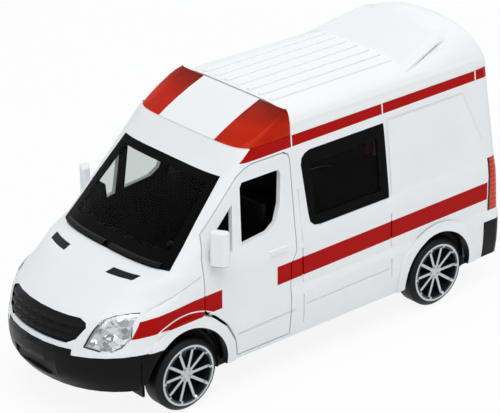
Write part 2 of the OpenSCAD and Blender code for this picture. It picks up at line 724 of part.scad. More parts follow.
// Posts for the base screws, and bosses that hold the front doors' pins
module body_posts() {
    intersection() {
        body_solid(wall / 2);
        both_sides() {
            translate([front_post[0], front_post[1], base_top + seat_gap]) cylinder(d = post_d, h = side_h);
            translate([rear_post[0] - rear_post_l / 2, rear_post[1] - post_d / 2, base_top + seat_gap])
                cube([rear_post_l, half_w, rear_post_h]);
            translate([pin_x, pin_y, pin_low - wall]) cylinder(d = boss_d, h = barrel_low - pin_low);
        }
    }
}
module bumper_room() {
    block(bumper_end_x - trim_gap, half_l + cut, -half_w - cut, half_w + cut, 0, bumper_top + trim_gap);
    block(bumper_end_x, half_l + cut, -bumper_step_w - trim_gap, bumper_step_w + trim_gap, 0,
        bumper_top + bumper_step + trim_gap);
    block(-half_l - cut, rear_bumper_l + trim_gap - half_l, -half_w - cut, half_w + cut, 0,
        rear_bumper_top + trim_gap);
}
module vent_cut() {
    loop = concat(vent_grid[0], [for (i = [len(vent_grid[1]) - 1 : -1 : 0]) vent_grid[1][i]]);
    translate([0, 0, up(vent_shares[0][0]) - 2 * wall]) linear_extrude(3 * wall)
        offset(delta = trim_gap) polygon([for (p = loop) [p[0], p[1]]]);
}
// A straight groove between two panels, cut into the side's own surface
module side_groove(ends) {
    hull() for (p = ends) let (x = p[0] * half_l, z = up(p[1]))
        translate([x, 0, z]) rod_y(groove_d / 2, side_y(x, z) - groove_depth, half_w + cut, $fn = 8);
}
module tail_cut() {
    block(-half_l - cut, tail_front_x + trim_gap, tail_in - trim_gap, half_w + cut, tail_zs[0] - trim_gap,
        tail_zs[tail_rows] + trim_gap);
}
// Body shell, cast in one piece
module body_shell() color("white") difference() {
    union() {
        difference() {
            union() {
                difference() {
                    body_solid(0);
                    body_hollow();
                }
                body_flares();
            }
            bumper_room();
            both_sides() {
                arch_cut(front_axle_x, front_arch_r);
                arch_cut(rear_axle_x, rear_arch_r);
                tail_cut();
            }
            rear_place() block(-cut, frame_t + cut, -rear_door_w - door_gap, rear_door_w + door_gap,
                rear_door_z - door_gap, rear_door_z + rear_door_h + door_gap);
            nose_cut(edge_loop(screen_zs, screen_ws, -screen_ws), trim_gap, 0);
            nose_cut(edge_loop(grille_zs, grille_ws, -grille_ws), trim_gap, front_axle_x);
            both_sides() {
                nose_cut(edge_loop(lamp_zs, lamp_ins, lamp_outs), trim_gap, front_axle_x);
                vent_cut();
                side_cut(edge_loop(window_zs, window_fronts, window_rears), trim_gap);
                for (ends = groove_shares) side_groove(ends);
            }
        }
        body_posts();
    }
    both_sides() {
        side_cut(doorway, door_gap);
        for (p = [front_post, rear_post]) translate([p[0], p[1], 0])
            cylinder(d = screw_d + 2 * trim_gap, h = base_top + screw_l);
        translate([pin_x, pin_y, pin_low]) cylinder(d = pin_d + 2 * run_gap, h = side_h / 2);
        rear_place() translate([pin_depth, rear_pin_y, rear_pin_z - trim_gap])
            cylinder(d = pin_d + 2 * run_gap, h = rear_pin_l + 2 * trim_gap);
    }
}

// Roof with its lengthwise ribs and rear hump
module roof() color("white") {
    angles = spread(-90, 90, roof_a_steps);
    skin([for (x = roof_xs) [for (a = angles) roof_point(a, x, 0)]],
        [for (x = roof_xs) [for (a = angles) roof_point(a, x, wall)]]);
    for (y = rib_ys) roof_rib(y);
    for (s = stiffener_shares) roof_stiffener(-s * half_l);
    roof_pod();
}
module roof_rib(y) {
    hull() for (x = [rib_start_x, rib_end_x]) translate([x, y, roof_z(x, y, wall / 2)])
        cylinder(d = rib_w, h = rib_h + wall / 2, $fn = 12);
}
module roof_stiffener(x) {
    y = stiffener_w_share * half_w;
    hull() both_sides() translate([x, y, roof_z(x, y, wall) - stiffener_d / 2])
        cylinder(d = stiffener_d, h = stiffener_d, $fn = 12);
}
// A flat panel climbs from the ribs to the top of the pod, and its flanks fall to the roof
module roof_pod() {
    hull() both_sides() for (p = pod_shares, k = [0, 1]) translate([k * pod_flare - p[0] * half_l,
        p[1] * half_w + k * pod_flare, lift + p[2] * roof_rise - pod_d - k * pod_drop])
        cylinder(d = pod_d, h = pod_d, $fn = 8);
}
// A fairing between the beacons carries the windscreen's slope on to the roof
fairing_ys = spread(trim_gap - beacon_in, beacon_in - trim_gap, beacon_steps);
function fairing_edge(z, t) = [for (y = fairing_ys) [beacon_front(y, z, t), y, z - t]];
module light_fairing() color("white") {
    skin([for (z = beacon_zs) fairing_edge(z, 0)], [for (z = beacon_zs) fairing_edge(under(z), beacon_wall)]);
}
// A red lens wraps the roof's corner from the fairing to the side
function lens_edge(z, t) = concat(
    [for (a = spread(beacon_a(beacon_in, z, t), 90, beacon_steps)) dropped(beacon_side(a, z, t), t)],
    [[beacon_rear_x, beacon_w(z) - t, z - t]]);
module beacon_lens() color("red") {
    skin([for (z = beacon_zs) lens_edge(z, 0)], [for (z = beacon_zs) lens_edge(under(z), beacon_wall)]);
}
module beacon_lens_left() {
    beacon_lens();
}
module beacon_lens_right() {
    right_side() beacon_lens();
}
// Lamps on a strip of board that lies between the lenses
module beacon_lamps() color("tomato") {
    w = beacon_w(lift) - beacon_wall - trim_gap;
    block(beacon_rear_x, beacon_rear_x + lamp_board_l, -w, w, lift, lift + lamp_board_t);
    both_sides() translate([beacon_rear_x + lamp_board_l / 2, lamp_y_share * half_w, lift + lamp_board_t]) {
        cylinder(d = lamp_d, h = lamp_h);
        translate([0, 0, lamp_h]) sphere(d = lamp_d);
    }
}

module windscreen() color("dimgray") {
    front_plate(screen_zs, -screen_ws, screen_ws, screen_cols, 0, screen_t);
}
module wipers() color("black") both_sides() {
    zs = [for (k = [0, 1, 2]) screen_zs[0] + wiper_rise + k * wiper_h / 2];
    a = [for (z = zs) wiper_shares[0] * half_w];
    b = [for (z = zs) wiper_shares[1] * half_w];
    front_plate(zs, a, b, screen_cols / 2, -trim_gap - wiper_t, wiper_t);
}
module side_window() color("darkslategray") {
    side_plate(window_zs, window_fronts, window_rears, window_cols, pane_t);
}
module side_window_left() {
    side_window();
}
module side_window_right() {
    right_side() side_window();
}
module grille() color("black") {
    front_plate(grille_zs, -grille_ws, grille_ws, grille_cols, grille_depth, grille_t);
    for (s = slat_shares) {
        zs = [up(s) - slat_t / 2, up(s) + slat_t / 2];
        ws = [for (z = zs) line(grille_shares, 1, s) * half_w - slat_inset];
        front_plate(zs, -ws, ws, grille_cols, 0, grille_depth + grille_t / 2);
    }
}
module headlight_lens() color("lightgray") {
    front_plate(lamp_zs, lamp_ins, lamp_outs, lamp_cols, 0, lens_t);
}
module headlight_lens_left() {
    headlight_lens();
}
module headlight_lens_right() {
    right_side() headlight_lens();
}
module headlight_reflectors() color("silver") both_sides() {
    rows = [0 : len(lamp_zs) - 2];
    zs = [for (i = rows) lamp_zs[i]];
    ins = [for (i = rows) lamp_ins[i] + reflector_inset];
    outs = [for (i = rows) lamp_outs[i] - reflector_inset];
    front_plate(zs, ins, outs, lamp_cols, lens_t + reflector_gap, reflector_t);
}
module hood_vents() color("black") both_sides() {
    skin(vent_grid, [for (r = vent_grid) [for (p = r) dropped(p, vent_t)]]);
}
function tail_edge(z, t) = concat([[tail_front_x, side_w(z) - t, z]],
    [for (a = spread(0, 90, corner_steps)) corner(a, z, t)], [[tail_x(z) + t, tail_in, z]]);
module tail_light() color("orangered") {
    skin([for (z = tail_zs) tail_edge(z, 0)], [for (z = tail_zs) tail_edge(z, pane_t)]);
}
module tail_light_left() {
    tail_light();
}
module tail_light_right() {
    right_side() tail_light();
}

// Front bumper: a band round the nose with a raised middle and an air intake
function bumper_a(z, t) = acos(((bumper_end_x - bow_x(z)) / (nose_x(z) - bow_x(z) - t)) ^ (blunt(z) / 2));
function step_a(z, t) = asin((bumper_step_w / (side_w(z) - t)) ^ (blunt(z) / 2));
module front_bumper() color("black") difference() {
    union() {
        zs = spread(bumper_low, bumper_top, bumper_rows);
        skin([for (z = zs) [for (a = spread(-bumper_a(z, 0), bumper_a(z, 0), bumper_cols)) bow(a, z, 0)]],
            [for (z = zs) [for (a = spread(-bumper_a(z, bumper_t), bumper_a(z, bumper_t), bumper_cols))
                bow(a, z, bumper_t)]]);
        steps = [bumper_top - bumper_lap, bumper_top + bumper_step];
        skin([for (z = steps) [for (a = spread(-step_a(z, 0), step_a(z, 0), bumper_cols)) bow(a, z, 0)]],
            [for (z = steps) [for (a = spread(-step_a(z, bumper_t), step_a(z, bumper_t), bumper_cols))
                bow(a, z, bumper_t)]]);
    }
    w = intake_w_share * half_w;
    h = bumper_top - bumper_low;
    block(half_l - intake_depth - cut / 2, half_l + cut, -w, w, bumper_low + intake_shares[0] * h,
        bumper_low + intake_shares[1] * h);
}
function rear_band(z, t) = let (left = concat([[rear_bumper_l - half_l, side_w(z) - t, z]],
    [for (a = spread(0, 90, corner_steps)) corner(a, z, t)]))
    concat(left, [for (i = [len(left) - 1 : -1 : 0]) to_right(left[i])]);
module rear_bumper() color("black") {
    zs = spread(rear_bumper_low, rear_bumper_top, 3);
    skin([for (z = zs) rear_band(z, 0)], [for (z = zs) rear_band(z, bumper_t)]);
}

// A wheel well, closed over the wheel and behind it
module wheel_well(x) {
    difference() {
        translate([x, 0, axle_z]) rod_y(well_r + well_t, well_in - well_t, well_out);
        translate([x, 0, axle_z]) rod_y(well_r, well_in, half_w);
        translate([x, 0, axle_z]) rod_y(axle_d, 0, half_w);
        block(x - half_l, x + half_l, 0, half_w, -half_w, base_z);
    }
}
// Base plate with wheel wells, front bearings, the battery box and openings for the motor and the switch
module chassis() color("black") difference() {
    union() {
        both_sides() {
            wheel_well(front_axle_x);
            wheel_well(rear_axle_x);
        }
        block(-base_rear_x_share * half_l, front_axle_x, -base_w, base_w, base_z, base_top);
        block(0, front_axle_x + well_r, -tongue_w, tongue_w, base_z, base_top);
        block(0, base_front_x_share * half_l, -nose_w, nose_w, base_z, base_top);
        both_sides() block(front_axle_x - bearing_l / 2, front_axle_x + bearing_l / 2, tub_w - bearing_w,
            tongue_w, base_z, cab_floor_z - seat_gap);
        block(battery_x - box_l / 2 - box_t, battery_x + box_l / 2 + box_t, -box_w / 2 - box_t,
            box_w / 2 + box_t, base_z, box_top + box_t);
    }
    both_sides() {
        for (x = [front_axle_x, rear_axle_x]) block(x - well_r, x + well_r, well_in, half_w, 0, axle_z);
        for (p = [front_post, rear_post]) translate([p[0], p[1], 0]) {
            cylinder(d = screw_d + 2 * trim_gap, h = base_top + cut);
            cylinder(d = screw_head_d + 2 * trim_gap, h = base_z + head_h);
        }
    }
    at_front() rod_y(axle_d / 2 + run_gap, -half_w, half_w);
    block(battery_x - box_l / 2, battery_x + box_l / 2, -box_w / 2, box_w / 2, 0, box_top);
    block(motor_x0 - trim_gap, motor_x1 + trim_gap, -motor_y - trim_gap, motor_y + trim_gap, 0, seam_h);
    block(switch_x - stem_l / 2 - stem_gap, switch_x + stem_l / 2 + stem_gap, -stem_room, stem_room, 0,
        seam_h);
    block(switch_x - knob_l / 2 - stem_gap, switch_x + knob_l / 2 + stem_gap, -knob_room, knob_room, 0,
        base_z + knob_h + stem_gap);
    for (i = [0 : speaker_holes - 1]) translate([speaker_x, 0, 0]) rotate([0, 0, 360 * i / speaker_holes])
        translate([speaker_ring_share * speaker_d, 0, 0]) cylinder(d = speaker_hole_d, h = base_top + cut);
}
module chassis_screws() color("silver") both_sides() for (p = [front_post, rear_post])
    translate([p[0], p[1], base_z]) {
        cylinder(d = screw_head_d, h = head_h - seat_gap);
        cylinder(d = screw_d, h = base_t + screw_l - seat_gap);
    }

// A front door with its open windows, handle and pin barrel
module front_door() color("white") difference() {
    union() {
        side_plate(door_zs, door_fronts, door_rears, door_cols, door_t);
        translate([pin_x, pin_y, barrel_low]) cylinder(d = barrel_d, h = pin_top + wall - barrel_low);
        translate([handle_x, side_w(handle_z) - door_t / 2, handle_z - handle_h / 2])
            cube([handle_l, door_t / 2 + handle_out, handle_h]);
    }
    side_cut(on_door(main_window_shares), 0);
    side_cut(on_door(quarter_window_shares), 0);
    translate([pin_x, pin_y, pin_low]) cylinder(d = pin_d + 2 * run_gap, h = pin_top + seat_gap - pin_low);
}
module door_left() {
    front_door();
}
module door_right() {
    right_side() front_door();
}
module door_mirror() color("white") {
    z = up(mirror_low_share);
    y = side_y(pin_x - mirror_foot_l, z) + seat_gap;
    translate([pin_x, y, z]) {
        translate([-mirror_foot_l, 0, mirror_r]) cube([mirror_foot_l, mirror_out, mirror_foot_h]);
        translate([mirror_lead, mirror_out, mirror_r]) hull() for (q = [0, 1], k = [0, 1], e = [0, 1])
            translate([-q * mirror_sweep - k * (mirror_t - 2 * mirror_r), q * (mirror_w - 2 * mirror_r),
                e * (mirror_h - 2 * mirror_r)]) sphere(r = mirror_r, $fn = 16);
    }
}
module mirror_left() {
    door_mirror();
}
module mirror_right() {
    right_side() door_mirror();
}
module front_hinge_pins() color("silver") both_sides() translate([pin_x, pin_y, pin_low + seat_gap])
    cylinder(d = pin_d, h = pin_top - pin_low - seat_gap);

// A rear door with its window opening and its pin barrel
module rear_window_hole(grow, x0, x1) {
    block(x0, x1, rear_window_y_shares[0] * rear_door_w - grow, rear_window_y_shares[1] * rear_door_w + grow,
        rear_door_z + rear_window_z_shares[0] * rear_door_h - grow,
        rear_door_z + rear_window_z_shares[1] * rear_door_h + grow);
}
module rear_door() color("white") rear_place() difference() {
    union() {
        block(0, door_t, door_gap / 2, rear_door_w, rear_door_z, rear_door_z + rear_door_h);
        translate([pin_depth, rear_pin_y, rear_door_z]) cylinder(d = barrel_d, h = rear_door_h);
    }
    rear_window_hole(trim_gap, -cut, door_t + cut);
    translate([pin_depth, rear_pin_y, 0]) cylinder(d = pin_d + 2 * run_gap, h = side_h);
}
module rear_window() color("darkslategray") rear_place()
    rear_window_hole(0, rear_pane_depth, rear_pane_depth + pane_t);
module rear_door_left() {
    rear_door();
}
module rear_door_right() {
    right_side() rear_door();
}
module rear_window_left() {
    rear_window();
}
module rear_window_right() {
    right_side() rear_window();
}
module rear_hinge_pins() color("silver") both_sides() rear_place()
    translate([pin_depth, rear_pin_y, rear_pin_z]) cylinder(d = pin_d, h = rear_pin_l);

// Cab tub: floor, bulkhead behind the seats and firewall ahead of them
module cab_tub() color("black") {
    zs = spread(cab_floor_z, seam_h - tub_t, 10);
    ws = [for (z = zs) side_w(z) - wall - door_gap];
    wide_x = front_axle_x - well_r - well_t - trim_gap;
    block(bulkhead_x, wide_x, -cab_w, cab_w, cab_floor_z, cab_floor_z + tub_t);
    block(bulkhead_x, cab_front_x, -tub_w, tub_w, cab_floor_z, cab_floor_z + tub_t);
    block(cab_front_x - tub_t, cab_front_x, -tub_w, tub_w, cab_floor_z, cab_floor_z + firewall_h);
    translate([bulkhead_x, 0, 0]) rotate([90, 0, 90]) linear_extrude(tub_t) polygon(edge_loop(zs, ws, -ws));
}
module rear_deck() color("black") {
    block(deck_rear_x, bulkhead_x - seat_gap, -deck_w, deck_w, deck_z, deck_z + tub_t);
}
dash_x1 = cab_front_x - tub_t - seat_gap;
dash_x0 = dash_x1 - dash_l;
dash_z = up(dash_low_share);
module dashboard() color("black") {
    w = dash_w_share * half_w;
    translate([0, w, 0]) rotate([90, 0, 0]) linear_extrude(2 * w)
        polygon([[dash_x0 + dash_slant, dash_z], [dash_x1, dash_z], [dash_x1, dash_z + dash_h],
            [dash_x0 + dash_slant, dash_z + dash_h], [dash_x0, dash_z + dash_h / 2]]);
}
module steering_wheel() color("black") {
    ring_r = (steering_d - steering_tube) / 2;
    translate([dash_x0 - column_d / 2, seat_y_share * half_w, dash_z + dash_h / 2])
        rotate([0, -steering_turn, 0]) {
            cylinder(d = column_d, h = column_l);
            translate([0, 0, column_l]) rotate_extrude() translate([ring_r, 0])
                circle(d = steering_tube, $fn = 8);
            for (i = [0 : steering_spokes - 1]) rotate([0, 0, 360 * i / steering_spokes])
                translate([0, -steering_tube / 2, column_l - steering_tube / 2])
                    cube([ring_r, steering_tube, steering_tube]);
        }
}
module cab_seat() color("black") {
    x = bulkhead_x + tub_t + seat_gap_x;
    z = cab_floor_z + tub_t + seat_gap;
    h = pedestal_h + cushion_h;
    translate([x, seat_w / 2 + seat_y_share * half_w, z]) rotate([90, 0, 0]) linear_extrude(seat_w)
        offset(r = seat_r) offset(delta = -seat_r)
            polygon([[back_lean, 0], [seat_l - back_lean, 0], [seat_l - back_lean, pedestal_h],
                [seat_l, pedestal_h], [seat_l, h], [back_lean + back_t, h], [back_t, h + back_h],
                [0, h + back_h], [back_lean, h]]);
}
module driver_seat() {
    cab_seat();
}
module passenger_seat() {
    right_side() cab_seat();
}

// Wheels turn about Y. The left wheel is drawn, and the right one is its mirror image
module wheel_rim() color("silver") {
    r = rim_d / 2 - rim_lip;
    depth = tyre_w - seat_gap;
    rotate([-90, 0, 0]) translate([0, 0, wheel_face]) mirror([0, 0, 1]) {
        rotate_extrude() polygon([[r - rim_wall, 0], [rim_d / 2, 0], [rim_d / 2, rim_wall], [r, rim_wall],
            [r, depth], [r - rim_wall, depth]]);
        difference() {
            union() {
                translate([0, 0, rim_wall]) cylinder(d = hub_d, h = depth - rim_wall);
                for (i = [0 : spoke_count - 1]) rotate([0, 0, 360 * i / spoke_count])
                    translate([0, -spoke_w / 2, rim_wall]) cube([r - rim_wall / 2, spoke_w, spoke_t]);
            }
            translate([0, 0, rim_wall + spoke_t]) cylinder(d = axle_d + 2 * press_gap, h = tyre_w);
        }
    }
}
module wheel_tyre() color("black") {
    r = rim_d / 2 - rim_lip + press_gap;
    lip = rim_d / 2 + press_gap;
    shoulder = tyre_d / 2 - rim_d / 2 - rim_lip;
    rotate([-90, 0, 0]) translate([0, 0, wheel_face]) mirror([0, 0, 1]) rotate_extrude()
        polygon([[lip, 0], [tyre_d / 2 - shoulder, 0], [tyre_d / 2, shoulder],
            [tyre_d / 2, tyre_w - shoulder], [tyre_d / 2 - shoulder, tyre_w], [r, tyre_w],
            [r, rim_wall + press_gap], [lip, rim_wall + press_gap]]);
}
module at_front() {
    translate([front_axle_x, 0, axle_z]) children();
}
module at_rear() {
    translate([rear_axle_x, 0, axle_z]) children();
}
module rim_front_left() {
    at_front() wheel_rim();
}
module rim_front_right() {
    right_side() at_front() wheel_rim();
}
module rim_rear_left() {
    at_rear() wheel_rim();
}
module rim_rear_right() {
    right_side() at_rear() wheel_rim();
}
module tyre_front_left() {
    at_front() wheel_tyre();
}
module tyre_front_right() {
    right_side() at_front() wheel_tyre();
}
module tyre_rear_left() {
    at_rear() wheel_tyre();
}
module tyre_rear_right() {
    right_side() at_rear() wheel_tyre();
}
axle_end = wheel_face - rim_wall - spoke_t - seat_gap;
module front_axle() color("silver") {
    at_front() rod_y(axle_d / 2, -axle_end, axle_end);
}
module rear_axle() color("silver") {
    at_rear() rod_y(axle_d / 2, -axle_end, axle_end);
}

// A spur gear about Y, with a tooth towards the angle first
module gear(teeth, first, bore) {
    r = gear_module * teeth / 2;
    root = r - dedendum_share * gear_module;
    tip = r + addendum_share * gear_module;
    pitch = 360 / teeth;
    foot = root * sin(tooth_root_share * pitch / 2);
    low = root * cos(tooth_root_share * pitch / 2) - gear_slack;
    top = tip * sin(tooth_top_share * pitch / 2);
    rotate([90, 0, 0]) translate([0, 0, -gear_y - gear_w]) linear_extrude(gear_w) difference() {
        union() {
            circle(r = root);
            for (i = [0 : teeth - 1]) rotate(first + i * pitch)
                polygon([[low, -foot], [tip, -top], [tip, top], [low, foot]]);
        }
        circle(r = bore);
    }
}
module drive_pinion() color("goldenrod") {
    at_rear() gear(pinion_teeth, gear_angle, axle_d / 2 + press_gap);
}
module at_spring() {
    translate([spring_x, 0, spring_z]) children();
}
module spring_gear() color("ivory") at_spring() {
    gear(spring_teeth, gear_angle + 180 + 180 / spring_teeth, 0);
    rod_y(arbor_d / 2, seat_gap - motor_y, motor_y - seat_gap);
}
module mainspring() color("slategray") at_spring() difference() {
    rod_y(spring_coil_share * spring_r, gear_y - spring_coil_gap - spring_coil_w, gear_y - spring_coil_gap);
    rod_y(arbor_d / 2 + press_gap, -motor_w, motor_w);
}
module motor_bores() {
    at_rear() rod_y(axle_d / 2 + run_gap, -motor_w, motor_w);
    at_spring() rod_y(arbor_d / 2 + run_gap, -motor_w, motor_w);
}
module motor_housing() color("dimgray") difference() {
    union() {
        block(motor_x0, motor_x1, -motor_y, motor_open_y, motor_z0, motor_z1);
        block(motor_x0 - motor_ear, motor_x1 + motor_ear, -motor_y, motor_open_y, base_top + seat_gap,
            base_top + seat_gap + motor_wall);
    }
    block(motor_x0 + motor_wall, motor_x1 - motor_wall, motor_wall - motor_y, motor_y, motor_z0 + motor_wall,
        motor_z1 - motor_wall);
    motor_bores();
}
module motor_cover() color("gray") difference() {
    block(motor_x0, motor_x1, motor_y - motor_wall, motor_y, motor_z0, motor_z1);
    motor_bores();
}

module battery_cover() color("black") {
    block(battery_x - box_l / 2 + trim_gap, battery_x + box_l / 2 - trim_gap, -box_w / 2 + trim_gap,
        box_w / 2 - trim_gap, base_z, base_z + cover_t);
}
module button_cells() color("silver") {
    for (i = [0 : cell_count - 1]) translate([battery_x, (i - (cell_count - 1) / 2) * cell_pitch, cell_z])
        cylinder(d = cell_d, h = cell_h);
}
module circuit_board() color("darkgreen") {
    z = box_top + box_t + seat_gap;
    block(battery_x - box_l / 2, battery_x + box_l / 2, -box_w / 2, box_w / 2, z, z + board_t);
    block(battery_x - chip_share * box_l / 2, battery_x + chip_share * box_l / 2, -chip_share * box_l / 2,
        chip_share * box_l / 2, z, z + board_t + chip_h);
}
module speaker() color("dimgray") translate([speaker_x, 0, base_top + seat_gap]) {
    cylinder(d = speaker_d, h = speaker_h / 2);
    cylinder(d = magnet_share * speaker_d, h = speaker_h);
}
module switch_housing() color("dimgray") {
    z = base_top + seat_gap;
    room = stem_l / 2 + flange + stem_gap;
    difference() {
        block(switch_x - switch_l / 2, switch_x + switch_l / 2, -switch_w / 2, switch_w / 2, z, z + switch_h);
        block(switch_x - room, switch_x + room, -stem_room - flange, stem_room + flange, 0,
            z + switch_h - switch_wall);
    }
}
module switch_slider() color("white") {
    top = base_top + seat_gap + stem_gap;
    translate([switch_x, -switch_travel / 2, 0]) {
        slab(knob_l, knob_w, base_z, base_z + knob_h);
        slab(stem_l, stem_w, base_z + knob_h, top);
        slab(stem_l + 2 * flange, stem_w + 2 * flange, top, top + flange_t);
    }
}

body_shell();
roof();
light_fairing();
beacon_lens_left();
beacon_lens_right();
beacon_lamps();
windscreen();
wipers();
side_window_left();
side_window_right();
grille();
headlight_lens_left();
headlight_lens_right();
headlight_reflectors();
hood_vents();
tail_light_left();
tail_light_right();
front_bumper();
rear_bumper();
chassis();
door_left();
door_right();
mirror_left();
mirror_right();
front_hinge_pins();
rear_door_left();
rear_door_right();
rear_window_left();
rear_window_right();
rear_hinge_pins();
cab_tub();
rear_deck();
dashboard();
steering_wheel();
driver_seat();
passenger_seat();
front_axle();
rear_axle();
rim_front_left();
rim_front_right();
rim_rear_left();
rim_rear_right();
tyre_front_left();
tyre_front_right();
tyre_rear_left();
tyre_rear_right();
motor_housing();
motor_cover();
drive_pinion();
spring_gear();
mainspring();
battery_cover();
button_cells();
circuit_board();
speaker();
switch_housing();
switch_slider();
chassis_screws();
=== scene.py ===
import json
import math
import bmesh
import bpy
from mathutils import Matrix, Vector

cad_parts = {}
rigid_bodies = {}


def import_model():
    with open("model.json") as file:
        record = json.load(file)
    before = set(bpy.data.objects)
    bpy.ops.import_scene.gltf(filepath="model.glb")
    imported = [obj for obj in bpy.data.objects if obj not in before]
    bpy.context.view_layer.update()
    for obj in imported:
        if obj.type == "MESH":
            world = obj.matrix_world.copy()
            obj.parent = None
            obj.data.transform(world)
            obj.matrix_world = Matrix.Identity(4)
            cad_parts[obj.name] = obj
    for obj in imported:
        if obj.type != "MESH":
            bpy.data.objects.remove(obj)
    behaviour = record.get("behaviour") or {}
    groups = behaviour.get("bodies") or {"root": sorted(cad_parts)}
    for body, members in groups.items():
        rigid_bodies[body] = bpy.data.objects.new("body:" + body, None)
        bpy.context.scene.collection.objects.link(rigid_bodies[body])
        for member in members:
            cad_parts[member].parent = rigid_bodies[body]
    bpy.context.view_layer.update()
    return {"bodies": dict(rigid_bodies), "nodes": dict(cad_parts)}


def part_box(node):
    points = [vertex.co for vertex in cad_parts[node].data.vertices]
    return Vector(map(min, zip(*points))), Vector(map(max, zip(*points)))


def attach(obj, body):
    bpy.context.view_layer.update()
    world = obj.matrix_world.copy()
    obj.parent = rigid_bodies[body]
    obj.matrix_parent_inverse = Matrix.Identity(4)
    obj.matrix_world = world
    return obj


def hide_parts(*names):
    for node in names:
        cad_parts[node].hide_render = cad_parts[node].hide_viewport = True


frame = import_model()

# Body shell and doors: die-cast metal, sprayed with white enamel, with red stripes masked along
# both sides, and painted shade inside them. The shell is one casting that all the rest is screwed,
# pressed or hinged to. Each door turns on steel pins, and the front ones have no glass.
mm = 0.001


def linear(code):
    """The linear colour of an sRGB hex value."""
    channels = [int(code[i:i + 2], 16) / 255 for i in (0, 2, 4)]
    return [c / 12.92 if c <= 0.04045 else ((c + 0.055) / 1.055) ** 2.4 for c in channels] + [1]


def feed(tree, node, inputs):
    """Gives each of these inputs of a node its value, or links the socket that feeds it."""
    for key, value in inputs.items():
        if isinstance(value, bpy.types.NodeSocket):
            tree.links.new(value, node.inputs[key])
        else:
            node.inputs[key].default_value = value


def add(tree, kind, settings, inputs):
    """Adds a node with its settings and inputs."""
    made = tree.nodes.new(kind)
    for key, value in settings.items():
        setattr(made, key, value)
    feed(tree, made, inputs)
    return made


def surface(name):
    """A new material, its node tree and shader, and the piece's own coordinates in millimetres."""
    material = bpy.data.materials.new(name)
    material.use_nodes = True
    tree = material.node_tree
    own = add(tree, "ShaderNodeTexCoord", {}, {})
    place = add(tree, "ShaderNodeVectorMath", {"operation": "SCALE"},
                {0: own.outputs["Object"], "Scale": 1 / mm})
    return material, tree, tree.nodes["Principled BSDF"], place.outputs[0]


def mottled(tree, place, patch, codes, detail=2.0):
    """Two close tones in patches of this many millimetres: their colour, and the noise that mixes them."""
    noise = add(tree, "ShaderNodeTexNoise", {}, {"Vector": place, "Scale": 1 / patch, "Detail": detail})
    tone = add(tree, "ShaderNodeMix", {"data_type": "RGBA"},
               {"Factor": noise.outputs["Fac"], "A": linear(codes[0]), "B": linear(codes[1])})
    return tone.outputs["Result"], noise.outputs["Fac"]


# Sprayed enamel: an even gloss, clouded a little, with a faint orange peel and crisp masked edges
enamel, tree, shader, place = surface("white_enamel_with_red_stripes")
cloud_size = 12.5
white = mottled(tree, place, cloud_size, ("eceef0", "f4f3f0"), detail=3.0)[0]
red = mottled(tree, place, cloud_size, ("a80300", "b20500"), detail=3.0)[0]


def fold(tree, place):
    """A place's distances along X, Y and Z, and the place with the right side laid on the left."""
    axes = add(tree, "ShaderNodeSeparateXYZ", {}, {0: place}).outputs
    out = add(tree, "ShaderNodeMath", {"operation": "ABSOLUTE"}, {0: axes["Y"]})
    left = add(tree, "ShaderNodeCombineXYZ", {}, {"X": axes["X"], "Y": out.outputs[0], "Z": axes["Z"]})
    return axes, left.outputs[0]


def within(tree, place, edges):
    """1 on the inner side of every edge, which is a direction and a distance along it."""
    inside = 1.0
    for direction, distance in edges:
        along = add(tree, "ShaderNodeVectorMath", {"operation": "DOT_PRODUCT"}, {0: place, 1: direction})
        past = add(tree, "ShaderNodeMath", {"operation": "GREATER_THAN"},
                   {0: along.outputs["Value"], 1: distance})
        inside = add(tree, "ShaderNodeMath", {"operation": "MULTIPLY"},
                     {0: past.outputs[0], 1: inside}).outputs[0]
    return inside


# Edges of each stripe, and its gaps along X by their middle and half-length, in millimetres
lower_edges = [((0.0125, 0, 1), 29.45), ((-0.0113, 0, -1), -35.55), ((-0.0709, 0, -1), -38.23),
               ((-1, 0, -0.55), -82.44), ((1, 0, 0), -76.5), ((0, 1, 0), 24)]
lower_gaps = [(23.8, 10.8)]
upper_edges = [((0.006, 0, 1), 70.8), ((-1, 0, -1.15), -104.73), ((1, 0, 0), -79), ((0, 1, 0), 22.5)]
upper_gaps = [(3.8, 0.25), (-33.2, 0.25), (-73.4, 0.25)]
axes, left = fold(tree, place)
striped = 0.0
for edges, gaps in ((lower_edges, lower_gaps), (upper_edges, upper_gaps)):
    stripe = within(tree, left, edges)
    for gap_middle, gap_half in gaps:
        gap = add(tree, "ShaderNodeMath", {"operation": "COMPARE"},
                  {0: axes["X"], 1: gap_middle, 2: gap_half})
        stripe = add(tree, "ShaderNodeMath", {"operation": "SUBTRACT", "use_clamp": True},
                     {0: stripe, 1: gap.outputs[0]}).outputs[0]
    striped = add(tree, "ShaderNodeMath", {"operation": "MAXIMUM"}, {0: stripe, 1: striped}).outputs[0]


def middle_of(node):
    """The middle of a node's box, in millimetres."""
    low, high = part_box(node)
    return (low + high) / 2 / mm


def from_axle(tree, place, axle):
    """The way to a place from an axle that lies along Y, and its length."""
    offset = add(tree, "ShaderNodeVectorMath", {"operation": "SUBTRACT"}, {0: place, 1: axle})
    way = add(tree, "ShaderNodeVectorMath", {"operation": "MULTIPLY"}, {0: offset.outputs[0], 1: (1, 0, 1)})
    reach = add(tree, "ShaderNodeVectorMath", {"operation": "LENGTH"}, {0: way.outputs[0]})
    return way.outputs[0], reach.outputs["Value"]
